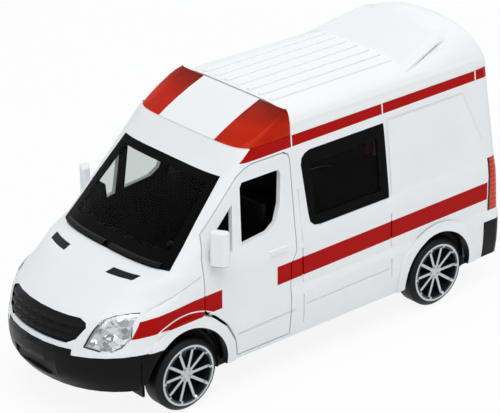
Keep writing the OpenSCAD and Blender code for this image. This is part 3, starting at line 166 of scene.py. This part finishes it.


# A thin white arc breaks the lower stripe along the flare's crease round each front wheel
flare_r = 20.0
flare_half = 0.2
reach = from_axle(tree, place, middle_of("tyre_front_left"))[1]
flare = add(tree, "ShaderNodeMath", {"operation": "COMPARE"}, {0: reach, 1: flare_r, 2: flare_half})
striped = add(tree, "ShaderNodeMath", {"operation": "SUBTRACT", "use_clamp": True},
              {0: striped, 1: flare.outputs[0]}).outputs[0]
paint = add(tree, "ShaderNodeMix", {"data_type": "RGBA"}, {"Factor": striped, "A": white, "B": red})


def own_normal(tree):
    """Which way a face looks, in the piece's own axes, so that it holds when a door turns."""
    facing = add(tree, "ShaderNodeNewGeometry", {}, {})
    turned = add(tree, "ShaderNodeVectorTransform",
                 {"vector_type": "NORMAL", "convert_from": "WORLD", "convert_to": "OBJECT"},
                 {0: facing.outputs["True Normal"]})
    return add(tree, "ShaderNodeSeparateXYZ", {}, {0: turned.outputs[0]}).outputs


# Painted shade: dark inside, where a face looks back at the middle of the van
inward = -4.0
outlook = add(tree, "ShaderNodeMath", {"operation": "MULTIPLY"}, {0: own_normal(tree)["Y"], 1: axes["Y"]})
painted_shade_and_foot = add(tree, "ShaderNodeMath", {"operation": "LESS_THAN"},
           {0: outlook.outputs[0], 1: inward}).outputs[0]
# Painted shade on the cut edge of each wheel arch too, which lies this far outside the tyre
for end, arch_gap in (("front", 3.6), ("rear", 2.7)):
    low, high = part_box(f"tyre_{end}_left")
    reach = from_axle(tree, place, middle_of(f"tyre_{end}_left"))[1]
    lip = add(tree, "ShaderNodeMath", {"operation": "LESS_THAN"},
              {0: reach, 1: (high.z - low.z) / 2 / mm + arch_gap})
    painted_shade_and_foot = add(tree, "ShaderNodeMath", {"operation": "MAXIMUM"}, {0: lip.outputs[0], 1: painted_shade_and_foot}).outputs[0]
# The same dark is painted on the foot ahead of each front wheel too, from a little behind the tyre's
# front end and up to the bumper's top, so that the black bumper runs on to the arch
foot_lap = 3.2
bumper_top = 23.5
foot_edges = [((1, 0, 0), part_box("tyre_front_left")[1].x / mm - foot_lap), ((0, 0, -1), -bumper_top)]
foot = within(tree, place, foot_edges)
painted_shade_and_foot = add(tree, "ShaderNodeMath", {"operation": "MAXIMUM"}, {0: foot, 1: painted_shade_and_foot}).outputs[0]
# One dark colour: painted shade inside and on the arch edges, and black on the foot
coat = add(tree, "ShaderNodeMix", {"data_type": "RGBA"},
           {"Factor": painted_shade_and_foot, "A": paint.outputs["Result"], "B": linear("121213")})
# A shallow panel is pressed in behind the side window, within these edges
panel_edges = [((0, 0, -1), -68.6), ((-1, 0, 0), 34.8), ((0.032, 0, 1), 43.2), ((0.931, 0, 0.366), -51.2),
               ((0.916, 0, -0.401), -89.3)]
panel_depth = 0.35 * mm
panel_slope = 0.5
far_inside = 100.0
inset = far_inside
for direction, distance in panel_edges:
    along = add(tree, "ShaderNodeVectorMath", {"operation": "DOT_PRODUCT"}, {0: left, 1: direction})
    past = add(tree, "ShaderNodeMath", {"operation": "SUBTRACT"}, {0: along.outputs["Value"], 1: distance})
    inset = add(tree, "ShaderNodeMath", {"operation": "MINIMUM"}, {0: past.outputs[0], 1: inset}).outputs[0]
panel = add(tree, "ShaderNodeMapRange", {"interpolation_type": "SMOOTHSTEP"},
            {"Value": inset, "From Min": -panel_slope, "From Max": panel_slope,
             "To Min": 1.0, "To Max": 0.0})
# A groove runs along the foot of each front door: its line, and the stretch of X that it covers
groove_direction, groove_distance = (0.028, 0, 1), 19.2
groove_middle, groove_half = 17.5, 11.5
groove_floor, groove_edge = 0.05, 0.45
along = add(tree, "ShaderNodeVectorMath", {"operation": "DOT_PRODUCT"}, {0: left, 1: groove_direction})
past = add(tree, "ShaderNodeMath", {"operation": "SUBTRACT"},
           {0: along.outputs["Value"], 1: groove_distance})
aside = add(tree, "ShaderNodeMath", {"operation": "ABSOLUTE"}, {0: past.outputs[0]})
groove = add(tree, "ShaderNodeMapRange", {"interpolation_type": "SMOOTHSTEP"},
             {"Value": aside.outputs[0], "From Min": groove_floor, "From Max": groove_edge})
on_door = add(tree, "ShaderNodeMath", {"operation": "COMPARE"},
              {0: axes["X"], 1: groove_middle, 2: groove_half})
cut = add(tree, "ShaderNodeMix", {}, {"Factor": on_door.outputs[0], "A": 1.0, "B": groove.outputs[0]})
pressed = add(tree, "ShaderNodeMath", {"operation": "MINIMUM"}, {0: panel.outputs[0], 1: cut.outputs[0]})
relief = add(tree, "ShaderNodeBump", {},
             {"Strength": 1.0, "Distance": panel_depth, "Height": pressed.outputs[0]})
peel_size = 0.7
peel = add(tree, "ShaderNodeTexNoise", {}, {"Vector": place, "Scale": 1 / peel_size, "Detail": 1.0})
skin = add(tree, "ShaderNodeBump", {},
           {"Strength": 0.03, "Distance": 0.02 * mm, "Height": peel.outputs["Fac"],
            "Normal": relief.outputs[0]})
feed(tree, shader, {"Base Color": coat.outputs["Result"], "Roughness": 0.3, "Specular IOR Level": 0.07,
                    "Coat Weight": 0.02, "Coat Roughness": 0.08, "Normal": skin.outputs[0]})

body_of = {node: body for body, empty in frame["bodies"].items()
           for node, obj in frame["nodes"].items() if obj.parent == empty}
weld = 0.002 * mm


def dress(node, material, crease, level=0.0):
    """A merged, smooth copy of a CAD node, which stands for it.

    Edges past crease degrees stay sharp, and faces within level degrees of each other join.
    """
    mesh = frame["nodes"][node].data.copy()
    work = bmesh.new()
    work.from_mesh(mesh)
    bmesh.ops.remove_doubles(work, verts=work.verts, dist=weld)
    if level:
        bmesh.ops.dissolve_limit(work, angle_limit=math.radians(level), verts=work.verts, edges=work.edges)
    for face in work.faces:
        face.smooth = True
    work.to_mesh(mesh)
    work.free()
    mesh.set_sharp_from_angle(angle=math.radians(crease))
    mesh.materials.clear()
    mesh.materials.append(material)
    piece = bpy.data.objects.new("dressed_" + node, mesh)
    bpy.context.collection.objects.link(piece)
    normals = piece.modifiers.new("even_shading", "WEIGHTED_NORMAL")
    normals.keep_sharp = True
    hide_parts(node)
    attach(piece, body_of[node])
    return piece


for node in ("door_left", "door_right", "rear_door_left", "rear_door_right"):
    dress(node, enamel, crease=28, level=1.0)
shell = dress("body_shell", enamel, crease=28, level=1.0)
# The foot ahead of each front wheel ends this far above the bumper's lower edge
foot_rise = 1.8 * mm
foot_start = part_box("tyre_front_left")[1].x
foot_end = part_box("front_bumper")[0].z + foot_rise
for corner in shell.data.vertices:
    if corner.co.x > foot_start and corner.co.z < foot_end:
        corner.co.z = foot_end

# Roof, fairing, mirrors and the switch's knob: white ABS, moulded, a little creamier than the
# enamel. Roof and fairing are pressed on to the casting, each mirror on to its door, and the knob
# slides in the base. The roof has low ribs along it and a hump over the rear.
white_abs, tree, shader, place = surface("moulded_white_ABS")
# Moulded ABS: a soft even gloss, clouded very little, over the mould's grain, drawn coarser than it is
cloud_size = 20.0
cream = mottled(tree, place, cloud_size, ("f1f2f1", "f5f5f3"))[0]
# The underside takes its shade from the dark cab
downward = -0.4
under = add(tree, "ShaderNodeMath", {"operation": "LESS_THAN"}, {0: own_normal(tree)["Z"], 1: downward})
shade = add(tree, "ShaderNodeMix", {"data_type": "RGBA"},
            {"Factor": under.outputs[0], "A": cream, "B": linear("1c1c1c")})
grain_size = 0.5
grain = add(tree, "ShaderNodeTexNoise", {}, {"Vector": place, "Scale": 1 / grain_size, "Detail": 2.0})
skin = add(tree, "ShaderNodeBump", {},
           {"Strength": 0.04, "Distance": 0.02 * mm, "Height": grain.outputs["Fac"]})
feed(tree, shader, {"Base Color": shade.outputs["Result"], "Roughness": 0.32, "Specular IOR Level": 0.12,
                    "Coat Weight": 0.03, "Normal": skin.outputs[0]})
dress("roof", white_abs, crease=25, level=2.0)
for node in ("light_fairing", "mirror_left", "mirror_right", "switch_slider"):
    dress(node, white_abs, crease=30)

# Beacons: clear red polystyrene lenses over a strip of lamps, clipped between fairing and roof.
# Upright flutes moulded inside each lens spread the light and show as fine lines.
red_lens, tree, shader, place = surface("clear_red_polystyrene")
# Clear polystyrene: a deep colour that light enters, painted darker towards the upper edge
cloud_size = 8.33
clear_red = mottled(tree, place, cloud_size, ("d81a05", "f24214"))[0]
axes = add(tree, "ShaderNodeSeparateXYZ", {}, {0: place}).outputs
edge_low, edge_high = 78.0, 84.5
edge = add(tree, "ShaderNodeMapRange", {},
           {"Value": axes["Z"], "From Min": edge_low, "From Max": edge_high})
dark = add(tree, "ShaderNodeMix", {"data_type": "RGBA"},
           {"Factor": edge.outputs[0], "A": clear_red, "B": linear("5c0f0a")})
flute_pitch = 1.6
turn = add(tree, "ShaderNodeMath", {"operation": "MULTIPLY"}, {0: axes["Y"], 1: 2 * math.pi / flute_pitch})
flute = add(tree, "ShaderNodeMath", {"operation": "SINE"}, {0: turn.outputs[0]})
skin = add(tree, "ShaderNodeBump", {}, {"Strength": 0.2, "Distance": 0.08 * mm, "Height": flute.outputs[0]})
feed(tree, shader, {"Base Color": dark.outputs["Result"], "Roughness": 0.06, "IOR": 1.16,
                    "Specular IOR Level": 0.3, "Transmission Weight": 0.5, "Normal": skin.outputs[0]})
for node in ("beacon_lens_left", "beacon_lens_right"):
    dress(node, red_lens, crease=35)
lamp_red, tree, shader, place = surface("red_lamp_epoxy")
# Cast epoxy: a dull tinted gloss, a little paler in places
cloud_size = 3.33
tone = mottled(tree, place, cloud_size, ("b8301c", "d04a2c"))[0]
feed(tree, shader, {"Base Color": tone, "Roughness": 0.3})
dress("beacon_lamps", lamp_red, crease=35)

# Windscreen, side windows and rear windows: lightly smoked styrene panes, moulded, printed black
# round the edge and pressed into body and doors from inside. The clear field shows the dark cab.
# Each field lies within these edges, in millimetres.
screen_field = [((0, -1, -0.126), -27.9), ((0, 0, 1), 48.4), ((0, 0, -1), -65.3)]
side_field = [((1, 0, 0), -30.3), ((-1, 0, 0.05), 6.0), ((0, 0, 1), 47), ((0, 0, -1), -63.8)]
rear_field = [((0, 0, 1), 48), ((0, 0, -1), -64), ((0, 1, 0), 6), ((0, -1, 0), -16.5)]
for label, field, nodes in (("screen", screen_field, ["windscreen"]),
                            ("side", side_field, ["side_window_left", "side_window_right"]),
                            ("rear", rear_field, ["rear_window_left", "rear_window_right"])):
    pane, tree, shader, place = surface("smoked_styrene_" + label)
    # Clear styrene: a see-through field in a glossy black print, and a low IOR that keeps its
    # reflections as faint as they look on the object
    clear = within(tree, fold(tree, place)[1], field)
    tint = add(tree, "ShaderNodeMix", {"data_type": "RGBA"},
               {"Factor": clear, "A": linear("050506"), "B": linear("c6cecc")})
    feed(tree, shader, {"Base Color": tint.outputs["Result"], "Roughness": 0.02, "IOR": 1.1,
                        "Specular IOR Level": 0.8, "Transmission Weight": clear})
    for node in nodes:
        dress(node, pane, crease=30)

# Headlights: clear styrene lenses over bright plated reflectors, both pressed into the nose.
# Each reflector has two round bowls, side by side, and cut facets all over.
clear_lens, tree, shader, place = surface("clear_styrene")
# Clear styrene: water-clear, with the least haze
haze_size = 2.0
tone = mottled(tree, place, haze_size, ("eef2f4", "f8fafb"))[0]
feed(tree, shader, {"Base Color": tone, "Roughness": 0.03, "IOR": 1.5, "Transmission Weight": 1.0})
for node in ("headlight_lens_left", "headlight_lens_right"):
    dress(node, clear_lens, crease=30)
plating, tree, shader, place = surface("vacuum_plated_reflector")
# Vacuum plating: a mirror whose facets tilt each its own way, and each facet is painted its own tone
# between grey and white, as painted flashes and darks
facet_size = 1.7
facets = add(tree, "ShaderNodeTexVoronoi", {}, {"Vector": place, "Scale": 1 / facet_size})
painted_flash = add(tree, "ShaderNodeSeparateColor", {}, {0: facets.outputs["Color"]})
tone = add(tree, "ShaderNodeMix", {"data_type": "RGBA"},
           {"Factor": painted_flash.outputs[0], "A": linear("868b8c"), "B": linear("f8f8f6")})
bevel = add(tree, "ShaderNodeBump", {},
            {"Strength": 0.6, "Distance": 0.5 * mm, "Height": facets.outputs["Distance"]})
# Bowls by their places across and above the van, in millimetres
bowl_places = ((0, 23.4, 31), (0, 20.2, 29.6))
bowl_r, bowl_floor_r = 2.6, 0.6
bowl_depth = 1.0 * mm
face = add(tree, "ShaderNodeVectorMath", {"operation": "MULTIPLY"}, {0: fold(tree, place)[1], 1: (0, 1, 1)})
bowls = 0.0
for bowl in bowl_places:
    reach = add(tree, "ShaderNodeVectorMath", {"operation": "DISTANCE"}, {0: face.outputs[0], 1: bowl})
    dish = add(tree, "ShaderNodeMapRange", {"interpolation_type": "SMOOTHSTEP"},
               {"Value": reach.outputs["Value"], "From Min": bowl_floor_r, "From Max": bowl_r,
                "To Min": 1.0, "To Max": 0.0})
    bowls = add(tree, "ShaderNodeMath", {"operation": "MAXIMUM"}, {0: dish.outputs[0], 1: bowls}).outputs[0]
skin = add(tree, "ShaderNodeBump", {"invert": True},
           {"Strength": 1.0, "Distance": bowl_depth, "Height": bowls, "Normal": bevel.outputs[0]})
feed(tree, shader, {"Base Color": tone.outputs["Result"], "Metallic": 1.0, "Roughness": 0.12,
                    "Normal": skin.outputs[0]})
dress("headlight_reflectors", plating, crease=30)

# Tail lights: orange-red styrene, moulded, wrapped round the rear corners and clipped in from
# behind. Level flutes run round the lens, as far apart as the beacons' own.
orange_lens, tree, shader, place = surface("orange_red_styrene")
# Tinted styrene: a wet gloss over flutes painted in bands of light and shade, with its front edge painted
# dark
axes = add(tree, "ShaderNodeSeparateXYZ", {}, {0: place}).outputs
turn = add(tree, "ShaderNodeMath", {"operation": "MULTIPLY"}, {0: axes["Z"], 1: 2 * math.pi / flute_pitch})
flute = add(tree, "ShaderNodeMath", {"operation": "SINE"}, {0: turn.outputs[0]})
# Painted light and shade: each flute's crest is painted paler and its hollow darker
tone = add(tree, "ShaderNodeMix", {"data_type": "RGBA"},
           {"Factor": flute.outputs[0], "A": linear("cc2a06"), "B": linear("dc420e")})
edge_x = -77.7
edge = add(tree, "ShaderNodeMath", {"operation": "GREATER_THAN"}, {0: axes["X"], 1: edge_x})
edged = add(tree, "ShaderNodeMix", {"data_type": "RGBA"},
            {"Factor": edge.outputs[0], "A": tone.outputs["Result"], "B": linear("2a0a06")})
skin = add(tree, "ShaderNodeBump", {}, {"Strength": 0.4, "Distance": 0.1 * mm, "Height": flute.outputs[0]})
feed(tree, shader, {"Base Color": edged.outputs["Result"], "Roughness": 0.15, "Specular IOR Level": 0.3,
                    "Transmission Weight": 0.1, "Normal": skin.outputs[0]})
for node in ("tail_light_left", "tail_light_right"):
    dress(node, orange_lens, crease=35)

# Bumpers, grille, wipers, vents, base and cab: black ABS, moulded in one colour and screwed or
# pressed to the casting. The cab's tub, seats and dashboard stand on the base.
black_abs, tree, shader, place = surface("grained_black_ABS")
# Black ABS: a dull gloss broken by a spark-eroded grain, drawn coarser than it is so that it shows
grain_size = 0.333
tone, grain = mottled(tree, place, grain_size, ("060607", "0d0d0e"), detail=3.0)
skin = add(tree, "ShaderNodeBump", {}, {"Strength": 0.1, "Distance": 0.04 * mm, "Height": grain})
feed(tree, shader, {"Base Color": tone, "Roughness": 0.36, "Specular IOR Level": 0.12,
                    "Normal": skin.outputs[0]})
for node in ("front_bumper", "rear_bumper", "grille", "wipers", "hood_vents", "chassis", "cab_tub",
             "rear_deck", "dashboard", "steering_wheel", "driver_seat", "passenger_seat", "battery_cover"):
    dress(node, black_abs, crease=30)

# Vent bars: moulded across the two vents in the hood, in one piece with them, in black ABS.
# They stand side by side along each vent, and lean with the hood.


def node_tree(name, sockets):
    """A geometry tree with these named inputs, and the sockets that they come in by."""
    tree = bpy.data.node_groups.new(name, "GeometryNodeTree")
    tree.interface.new_socket("Geometry", in_out="OUTPUT", socket_type="NodeSocketGeometry")
    for label, kind in sockets.items():
        tree.interface.new_socket(label, in_out="INPUT", socket_type="NodeSocket" + kind)
    return tree, add(tree, "NodeGroupInput", {}, {}).outputs


def grown(name, tree, values):
    """A piece with the plain mesh that a geometry tree makes from these values of its inputs."""
    piece = bpy.data.objects.new(name, bpy.data.meshes.new(name))
    bpy.context.collection.objects.link(piece)
    modifier = piece.modifiers.new(name, "NODES")
    modifier.node_group = tree
    for item in tree.interface.items_tree:
        if item.in_out == "INPUT":
            modifier[item.identifier] = values[item.name]
    bpy.context.view_layer.update()
    mesh = bpy.data.meshes.new_from_object(piece.evaluated_get(bpy.context.evaluated_depsgraph_get()))
    piece.modifiers.remove(modifier)
    piece.data = mesh
    return piece


bars, given = node_tree("vent_bars", {"Count": "Int", "First": "Vector", "Last": "Vector", "Bar": "Vector",
                                      "Turn": "Vector", "Finish": "Material"})
row = add(bars, "GeometryNodeMeshLine", {"mode": "END_POINTS"},
          {"Count": given["Count"], "Start Location": given["First"], "Offset": given["Last"]})
bar = add(bars, "GeometryNodeMeshCube", {}, {"Size": given["Bar"]})
laid = add(bars, "GeometryNodeInstanceOnPoints", {},
           {"Points": row.outputs[0], "Instance": bar.outputs["Mesh"], "Rotation": given["Turn"]})
whole = add(bars, "GeometryNodeRealizeInstances", {}, {"Geometry": laid.outputs[0]})
coloured = add(bars, "GeometryNodeSetMaterial", {},
               {"Geometry": whole.outputs[0], "Material": given["Finish"]})
add(bars, "NodeGroupOutput", {}, {"Geometry": coloured.outputs[0]})

bar_count = 8
bar_size = Vector((2.4, 0.35, 0.3)) * mm
bar_lean, bar_sweep = math.radians(14), math.radians(-12)
# Inner and outer end of a row: share of the vents' half-width, lead of their middle, drop from their top
row_ends = [(0.53, 0.7, 0.5), (0.95, -0.6, 0.7)]
low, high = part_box("hood_vents")
for side, sign in (("left", 1), ("right", -1)):
    first, last = [Vector(((low.x + high.x) / 2 + lead * mm, sign * share * high.y, high.z - drop * mm))
                   for share, lead, drop in row_ends]
    piece = grown(f"vent_bars_{side}", bars,
                  {"Count": bar_count, "First": first, "Last": last, "Bar": bar_size,
                   "Turn": (0, bar_lean, sign * bar_sweep), "Finish": black_abs})
    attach(piece, "vehicle")

# Wheels: ABS rims painted silver on their faces, pressed on steel axles, with soft black tyres
# stretched over them. Five bolt heads stand round each hub, and a crowned web closes the barrel
# behind the spokes; barrel and web are painted dark as painted shade.
silver, tree, shader, place = surface("silver_rim_with_painted_shade")
# Silver paint: a flake that shines like dull metal, drawn coarser than it is, with painted shade
# round it, dark in the barrel and along the sides of the spokes and lip
flake_size = 0.25
tone = mottled(tree, place, flake_size, ("b4b9bc", "d0d4d6"))[0]
axes, left = fold(tree, place)
ahead = add(tree, "ShaderNodeMath", {"operation": "GREATER_THAN"}, {0: axes["X"], 1: 0.0})
hub = add(tree, "ShaderNodeMix", {"data_type": "VECTOR"},
          {"Factor": ahead.outputs[0], "A": middle_of("rim_rear_left"), "B": middle_of("rim_front_left")})
way, reach = from_axle(tree, place, hub.outputs["Result"])
parts = add(tree, "ShaderNodeSeparateXYZ", {}, {0: way}).outputs
bearing = add(tree, "ShaderNodeMath", {"operation": "ARCTAN2"}, {0: parts["Z"], 1: parts["X"]})
spoke_count = 10
aside = add(tree, "ShaderNodeMath", {"operation": "PINGPONG"},
            {0: bearing.outputs[0], 1: math.pi / spoke_count})
arc = add(tree, "ShaderNodeMath", {"operation": "MULTIPLY"}, {0: aside.outputs[0], 1: reach})
# The paint covers the middle of each spoke, the outer lip and the hub, on the outer face only
spoke_half, lip_r, hub_r, face_y = 0.42, 9.0, 2.2, 28.3
painted = 0.0
for kind, measure, limit in (("LESS_THAN", arc.outputs[0], spoke_half), ("GREATER_THAN", reach, lip_r),
                             ("LESS_THAN", reach, hub_r)):
    zone = add(tree, "ShaderNodeMath", {"operation": kind}, {0: measure, 1: limit})
    painted = add(tree, "ShaderNodeMath", {"operation": "MAXIMUM"},
                  {0: zone.outputs[0], 1: painted}).outputs[0]
outer = within(tree, left, [((0, 1, 0), face_y)])
bright = add(tree, "ShaderNodeMath", {"operation": "MULTIPLY"}, {0: painted, 1: outer})
# All the rim and web outside the silver takes one dark colour: painted shade
silver_and_painted_shade = add(tree, "ShaderNodeMix", {"data_type": "RGBA"},
             {"Factor": bright.outputs[0], "A": linear("1d2021"), "B": tone})
flake_shine = 0.7
metal = add(tree, "ShaderNodeMath", {"operation": "MULTIPLY"}, {0: bright.outputs[0], 1: flake_shine})
feed(tree, shader, {"Base Color": silver_and_painted_shade.outputs["Result"], "Metallic": metal.outputs[0],
                    "Roughness": 0.28})

rubber, tree, shader, place = surface("soft_black_rubber")
# Soft rubber: nearly matt, with a little dust in its pores
dust_size = 1.667
tone, dust = mottled(tree, place, dust_size, ("070708", "101011"), detail=4.0)
skin = add(tree, "ShaderNodeBump", {}, {"Strength": 0.2, "Distance": 0.1 * mm, "Height": dust})
feed(tree, shader, {"Base Color": tone, "Roughness": 0.5, "Specular IOR Level": 0.2,
                    "Normal": skin.outputs[0]})

bolts, given = node_tree("ring_of_bolts", {"Count": "Int", "Sides": "Int", "Ring": "Float", "Head": "Float",
                                           "Height": "Float", "Centre": "Vector", "Finish": "Material"})
ring = add(bolts, "GeometryNodeMeshCircle", {}, {"Vertices": given["Count"], "Radius": given["Ring"]})
head = add(bolts, "GeometryNodeMeshCylinder", {},
           {"Vertices": given["Sides"], "Radius": given["Head"], "Depth": given["Height"]})
laid = add(bolts, "GeometryNodeInstanceOnPoints", {},
           {"Points": ring.outputs[0], "Instance": head.outputs["Mesh"]})
stood = add(bolts, "GeometryNodeTransform", {},
            {"Geometry": laid.outputs[0], "Rotation": (math.pi / 2, 0, 0), "Translation": given["Centre"]})
whole = add(bolts, "GeometryNodeRealizeInstances", {}, {"Geometry": stood.outputs[0]})
coloured = add(bolts, "GeometryNodeSetMaterial", {},
               {"Geometry": whole.outputs[0], "Material": given["Finish"]})
add(bolts, "NodeGroupOutput", {}, {"Geometry": coloured.outputs[0]})


ring_steps, ring_crease = 48, 40


def spun_ring(name, outline, axle, material):
    """A closed ring: an outline of radius and depth, spun round an axle that lies along Y."""
    work = bmesh.new()
    corners = [work.verts.new((axle.x + radius * mm, depth * mm, axle.z)) for radius, depth in outline]
    sides = [work.edges.new(pair) for pair in zip(corners, corners[1:] + corners[:1])]
    bmesh.ops.spin(work, geom=corners + sides, cent=(axle.x, 0, axle.z), axis=(0, 1, 0), angle=2 * math.pi,
                   steps=ring_steps, use_merge=True)
    bmesh.ops.remove_doubles(work, verts=work.verts, dist=weld)
    bmesh.ops.recalc_face_normals(work, faces=work.faces)
    mesh = bpy.data.meshes.new(name)
    work.to_mesh(mesh)
    work.free()
    mesh.materials.append(material)
    mesh.shade_smooth()
    mesh.set_sharp_from_angle(angle=math.radians(ring_crease))
    piece = bpy.data.objects.new(name, mesh)
    bpy.context.collection.objects.link(piece)
    return piece


bolt_ring, bolt_r, bolt_h = 1.7 * mm, 0.42 * mm, 0.7 * mm
bolt_depth = 0.7 * mm
# Outline of the web: radius, and distance from the middle of the van
web_outline = [(1.6, 25.6), (5.0, 26.4), (8.4, 25.2), (8.4, 24.4), (5.0, 25.4), (1.6, 24.6)]
for end in ("front", "rear"):
    for side, sign in (("left", 1), ("right", -1)):
        dress(f"rim_{end}_{side}", silver, crease=30)
        dress(f"tyre_{end}_{side}", rubber, crease=35)
        low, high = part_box(f"rim_{end}_{side}")
        centre = (low + high) / 2
        centre.y = (high.y if sign > 0 else low.y) - sign * bolt_depth
        heads = grown(f"hub_bolts_{end}_{side}", bolts,
                      {"Count": 5, "Sides": 6, "Ring": bolt_ring, "Head": bolt_r, "Height": bolt_h,
                       "Centre": centre, "Finish": silver})
        outline = [(radius, sign * depth) for radius, depth in web_outline]
        web = spun_ring(f"wheel_web_{end}_{side}", outline, centre, silver)
        for piece in (heads, web):
            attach(piece, f"{end}_wheels")

# Works and pins: moulded housings, a nylon gear, a brass pinion, steel axles, pins, screws and cells,
# and a green board. They are clipped, pressed or screwed into base and body, and show little or
# nothing, so each has one plain finish with a fine grain.
grain_size = 0.667
# Moulded ABS is dull and nylon waxy, brass and steel shine softly, and the board's mask is glossy
works = (("moulded_grey_ABS", ("4c4e50", "585a5c"), 0.5, 0,
          ("motor_housing", "motor_cover", "switch_housing", "speaker")),
         ("natural_nylon", ("ddd9c8", "e8e4d4"), 0.4, 0, ("spring_gear",)),
         ("turned_brass", ("b08a3c", "c49a48"), 0.3, 1, ("drive_pinion",)),
         ("drawn_steel", ("9a9c9e", "b4b6b8"), 0.3, 1,
          ("front_axle", "rear_axle", "front_hinge_pins", "rear_hinge_pins", "chassis_screws", "mainspring",
           "button_cells")),
         ("green_solder_mask", ("0c4a22", "14602e"), 0.35, 0, ("circuit_board",)))
for name, tones, roughness, metallic, nodes in works:
    plain, tree, shader, place = surface(name)
    tone = mottled(tree, place, grain_size, tones, detail=3.0)[0]
    feed(tree, shader, {"Base Color": tone, "Roughness": roughness, "Metallic": metallic})
    for node in nodes:
        dress(node, plain, crease=30)

# Floor: a wide sheet of plain white paper that the van stands on, 8 metres square. It takes a
# faint shadow and is otherwise nearly white.
floor_mesh = bpy.data.meshes.new("paper_floor")
half = 4.0
floor_mesh.from_pydata([(-half, -half, 0), (half, -half, 0), (half, half, 0), (-half, half, 0)], [],
                       [(0, 1, 2, 3)])
floor = bpy.data.objects.new("paper_floor", floor_mesh)
bpy.context.collection.objects.link(floor)


def seen_ray(tree):
    """1 for a ray that reaches the eye: straight, off a glossy surface or through glass."""
    path = add(tree, "ShaderNodeLightPath", {}, {})
    seen = path.outputs["Is Camera Ray"]
    for kind in ("Is Glossy Ray", "Is Transmission Ray"):
        seen = add(tree, "ShaderNodeMath", {"operation": "MAXIMUM"},
                   {0: seen, 1: path.outputs[kind]}).outputs[0]
    return seen


paper, tree, shader, place = surface("white_paper")
# White paper: matt and even, and to the eye nearly blown out to white
fibre_size = 50.0
tone = mottled(tree, place, fibre_size, ("f6f6f6", "fbfbfb"))[0]
feed(tree, shader, {"Base Color": tone, "Roughness": 0.9})
blown_share = 0.9
share = add(tree, "ShaderNodeMath", {"operation": "MULTIPLY"}, {0: seen_ray(tree), 1: blown_share})
glow = add(tree, "ShaderNodeEmission", {}, {"Color": linear("ffffff"), "Strength": 1.0})
blown = add(tree, "ShaderNodeMixShader", {},
            {0: share.outputs[0], 1: shader.outputs[0], 2: glow.outputs[0]})
feed(tree, tree.nodes["Material Output"], {"Surface": blown.outputs[0]})
floor_mesh.materials.append(paper)

# Light: a wide softbox over the left of the nose, weaker ones behind and at the left side, and a
# pale room. Past the paper's edge the eye sees plain white. Places are in metres.
aim = Vector((0, 0, 0.04))
for name, spot, size, watts in (("key_softbox", Vector((0.35, 0.4, 1.25)), 1.0, 10.5),
                                ("back_softbox", Vector((-0.9, -0.5, 0.9)), 1.0, 2.8),
                                ("side_softbox", Vector((-0.4, 1.2, 0.6)), 0.8, 1.3)):
    lamp = bpy.data.lights.new(name, "AREA")
    lamp.size = size
    lamp.energy = watts
    stand = bpy.data.objects.new(name, lamp)
    stand.location = spot
    stand.rotation_euler = (aim - spot).to_track_quat("-Z", "Y").to_euler()
    bpy.context.collection.objects.link(stand)
room = bpy.data.worlds.new("pale_room")
room.use_nodes = True
tree = room.node_tree
walls = tree.nodes["Background"]
feed(tree, walls, {"Color": linear("eef4fa"), "Strength": 0.45})
plain_white = add(tree, "ShaderNodeBackground", {}, {"Color": linear("ffffff"), "Strength": 1.0})
blown = add(tree, "ShaderNodeMixShader", {},
            {0: seen_ray(tree), 1: walls.outputs[0], 2: plain_white.outputs[0]})
feed(tree, tree.nodes["World Output"], {"Surface": blown.outputs[0]})
scene = bpy.context.scene
scene.world = room
scene.view_settings.view_transform = "Standard"

# Camera: a long lens ahead of the van, to its left and above it, at the photograph's place and
# tilted as it is.
yaw, pitch, roll = math.radians(49.70), math.radians(24.59), math.radians(-0.79)
stand_point = (0.44541, 0.52746, 0.35715)
back = Vector((math.cos(yaw) * math.cos(pitch), math.sin(yaw) * math.cos(pitch), math.sin(pitch)))
across = Vector((-math.sin(yaw), math.cos(yaw), 0))
upward = back.cross(across)
right = math.cos(roll) * across + math.sin(roll) * upward
top = math.cos(roll) * upward - math.sin(roll) * across
view = bpy.data.cameras.new("photo_camera")
view.sensor_width = 36
view.lens = 176.5
camera = bpy.data.objects.new("photo_camera", view)
camera.matrix_world = Matrix.Translation(stand_point) @ Matrix((right, top, back)).transposed().to_4x4()
bpy.context.collection.objects.link(camera)
scene.camera = camera
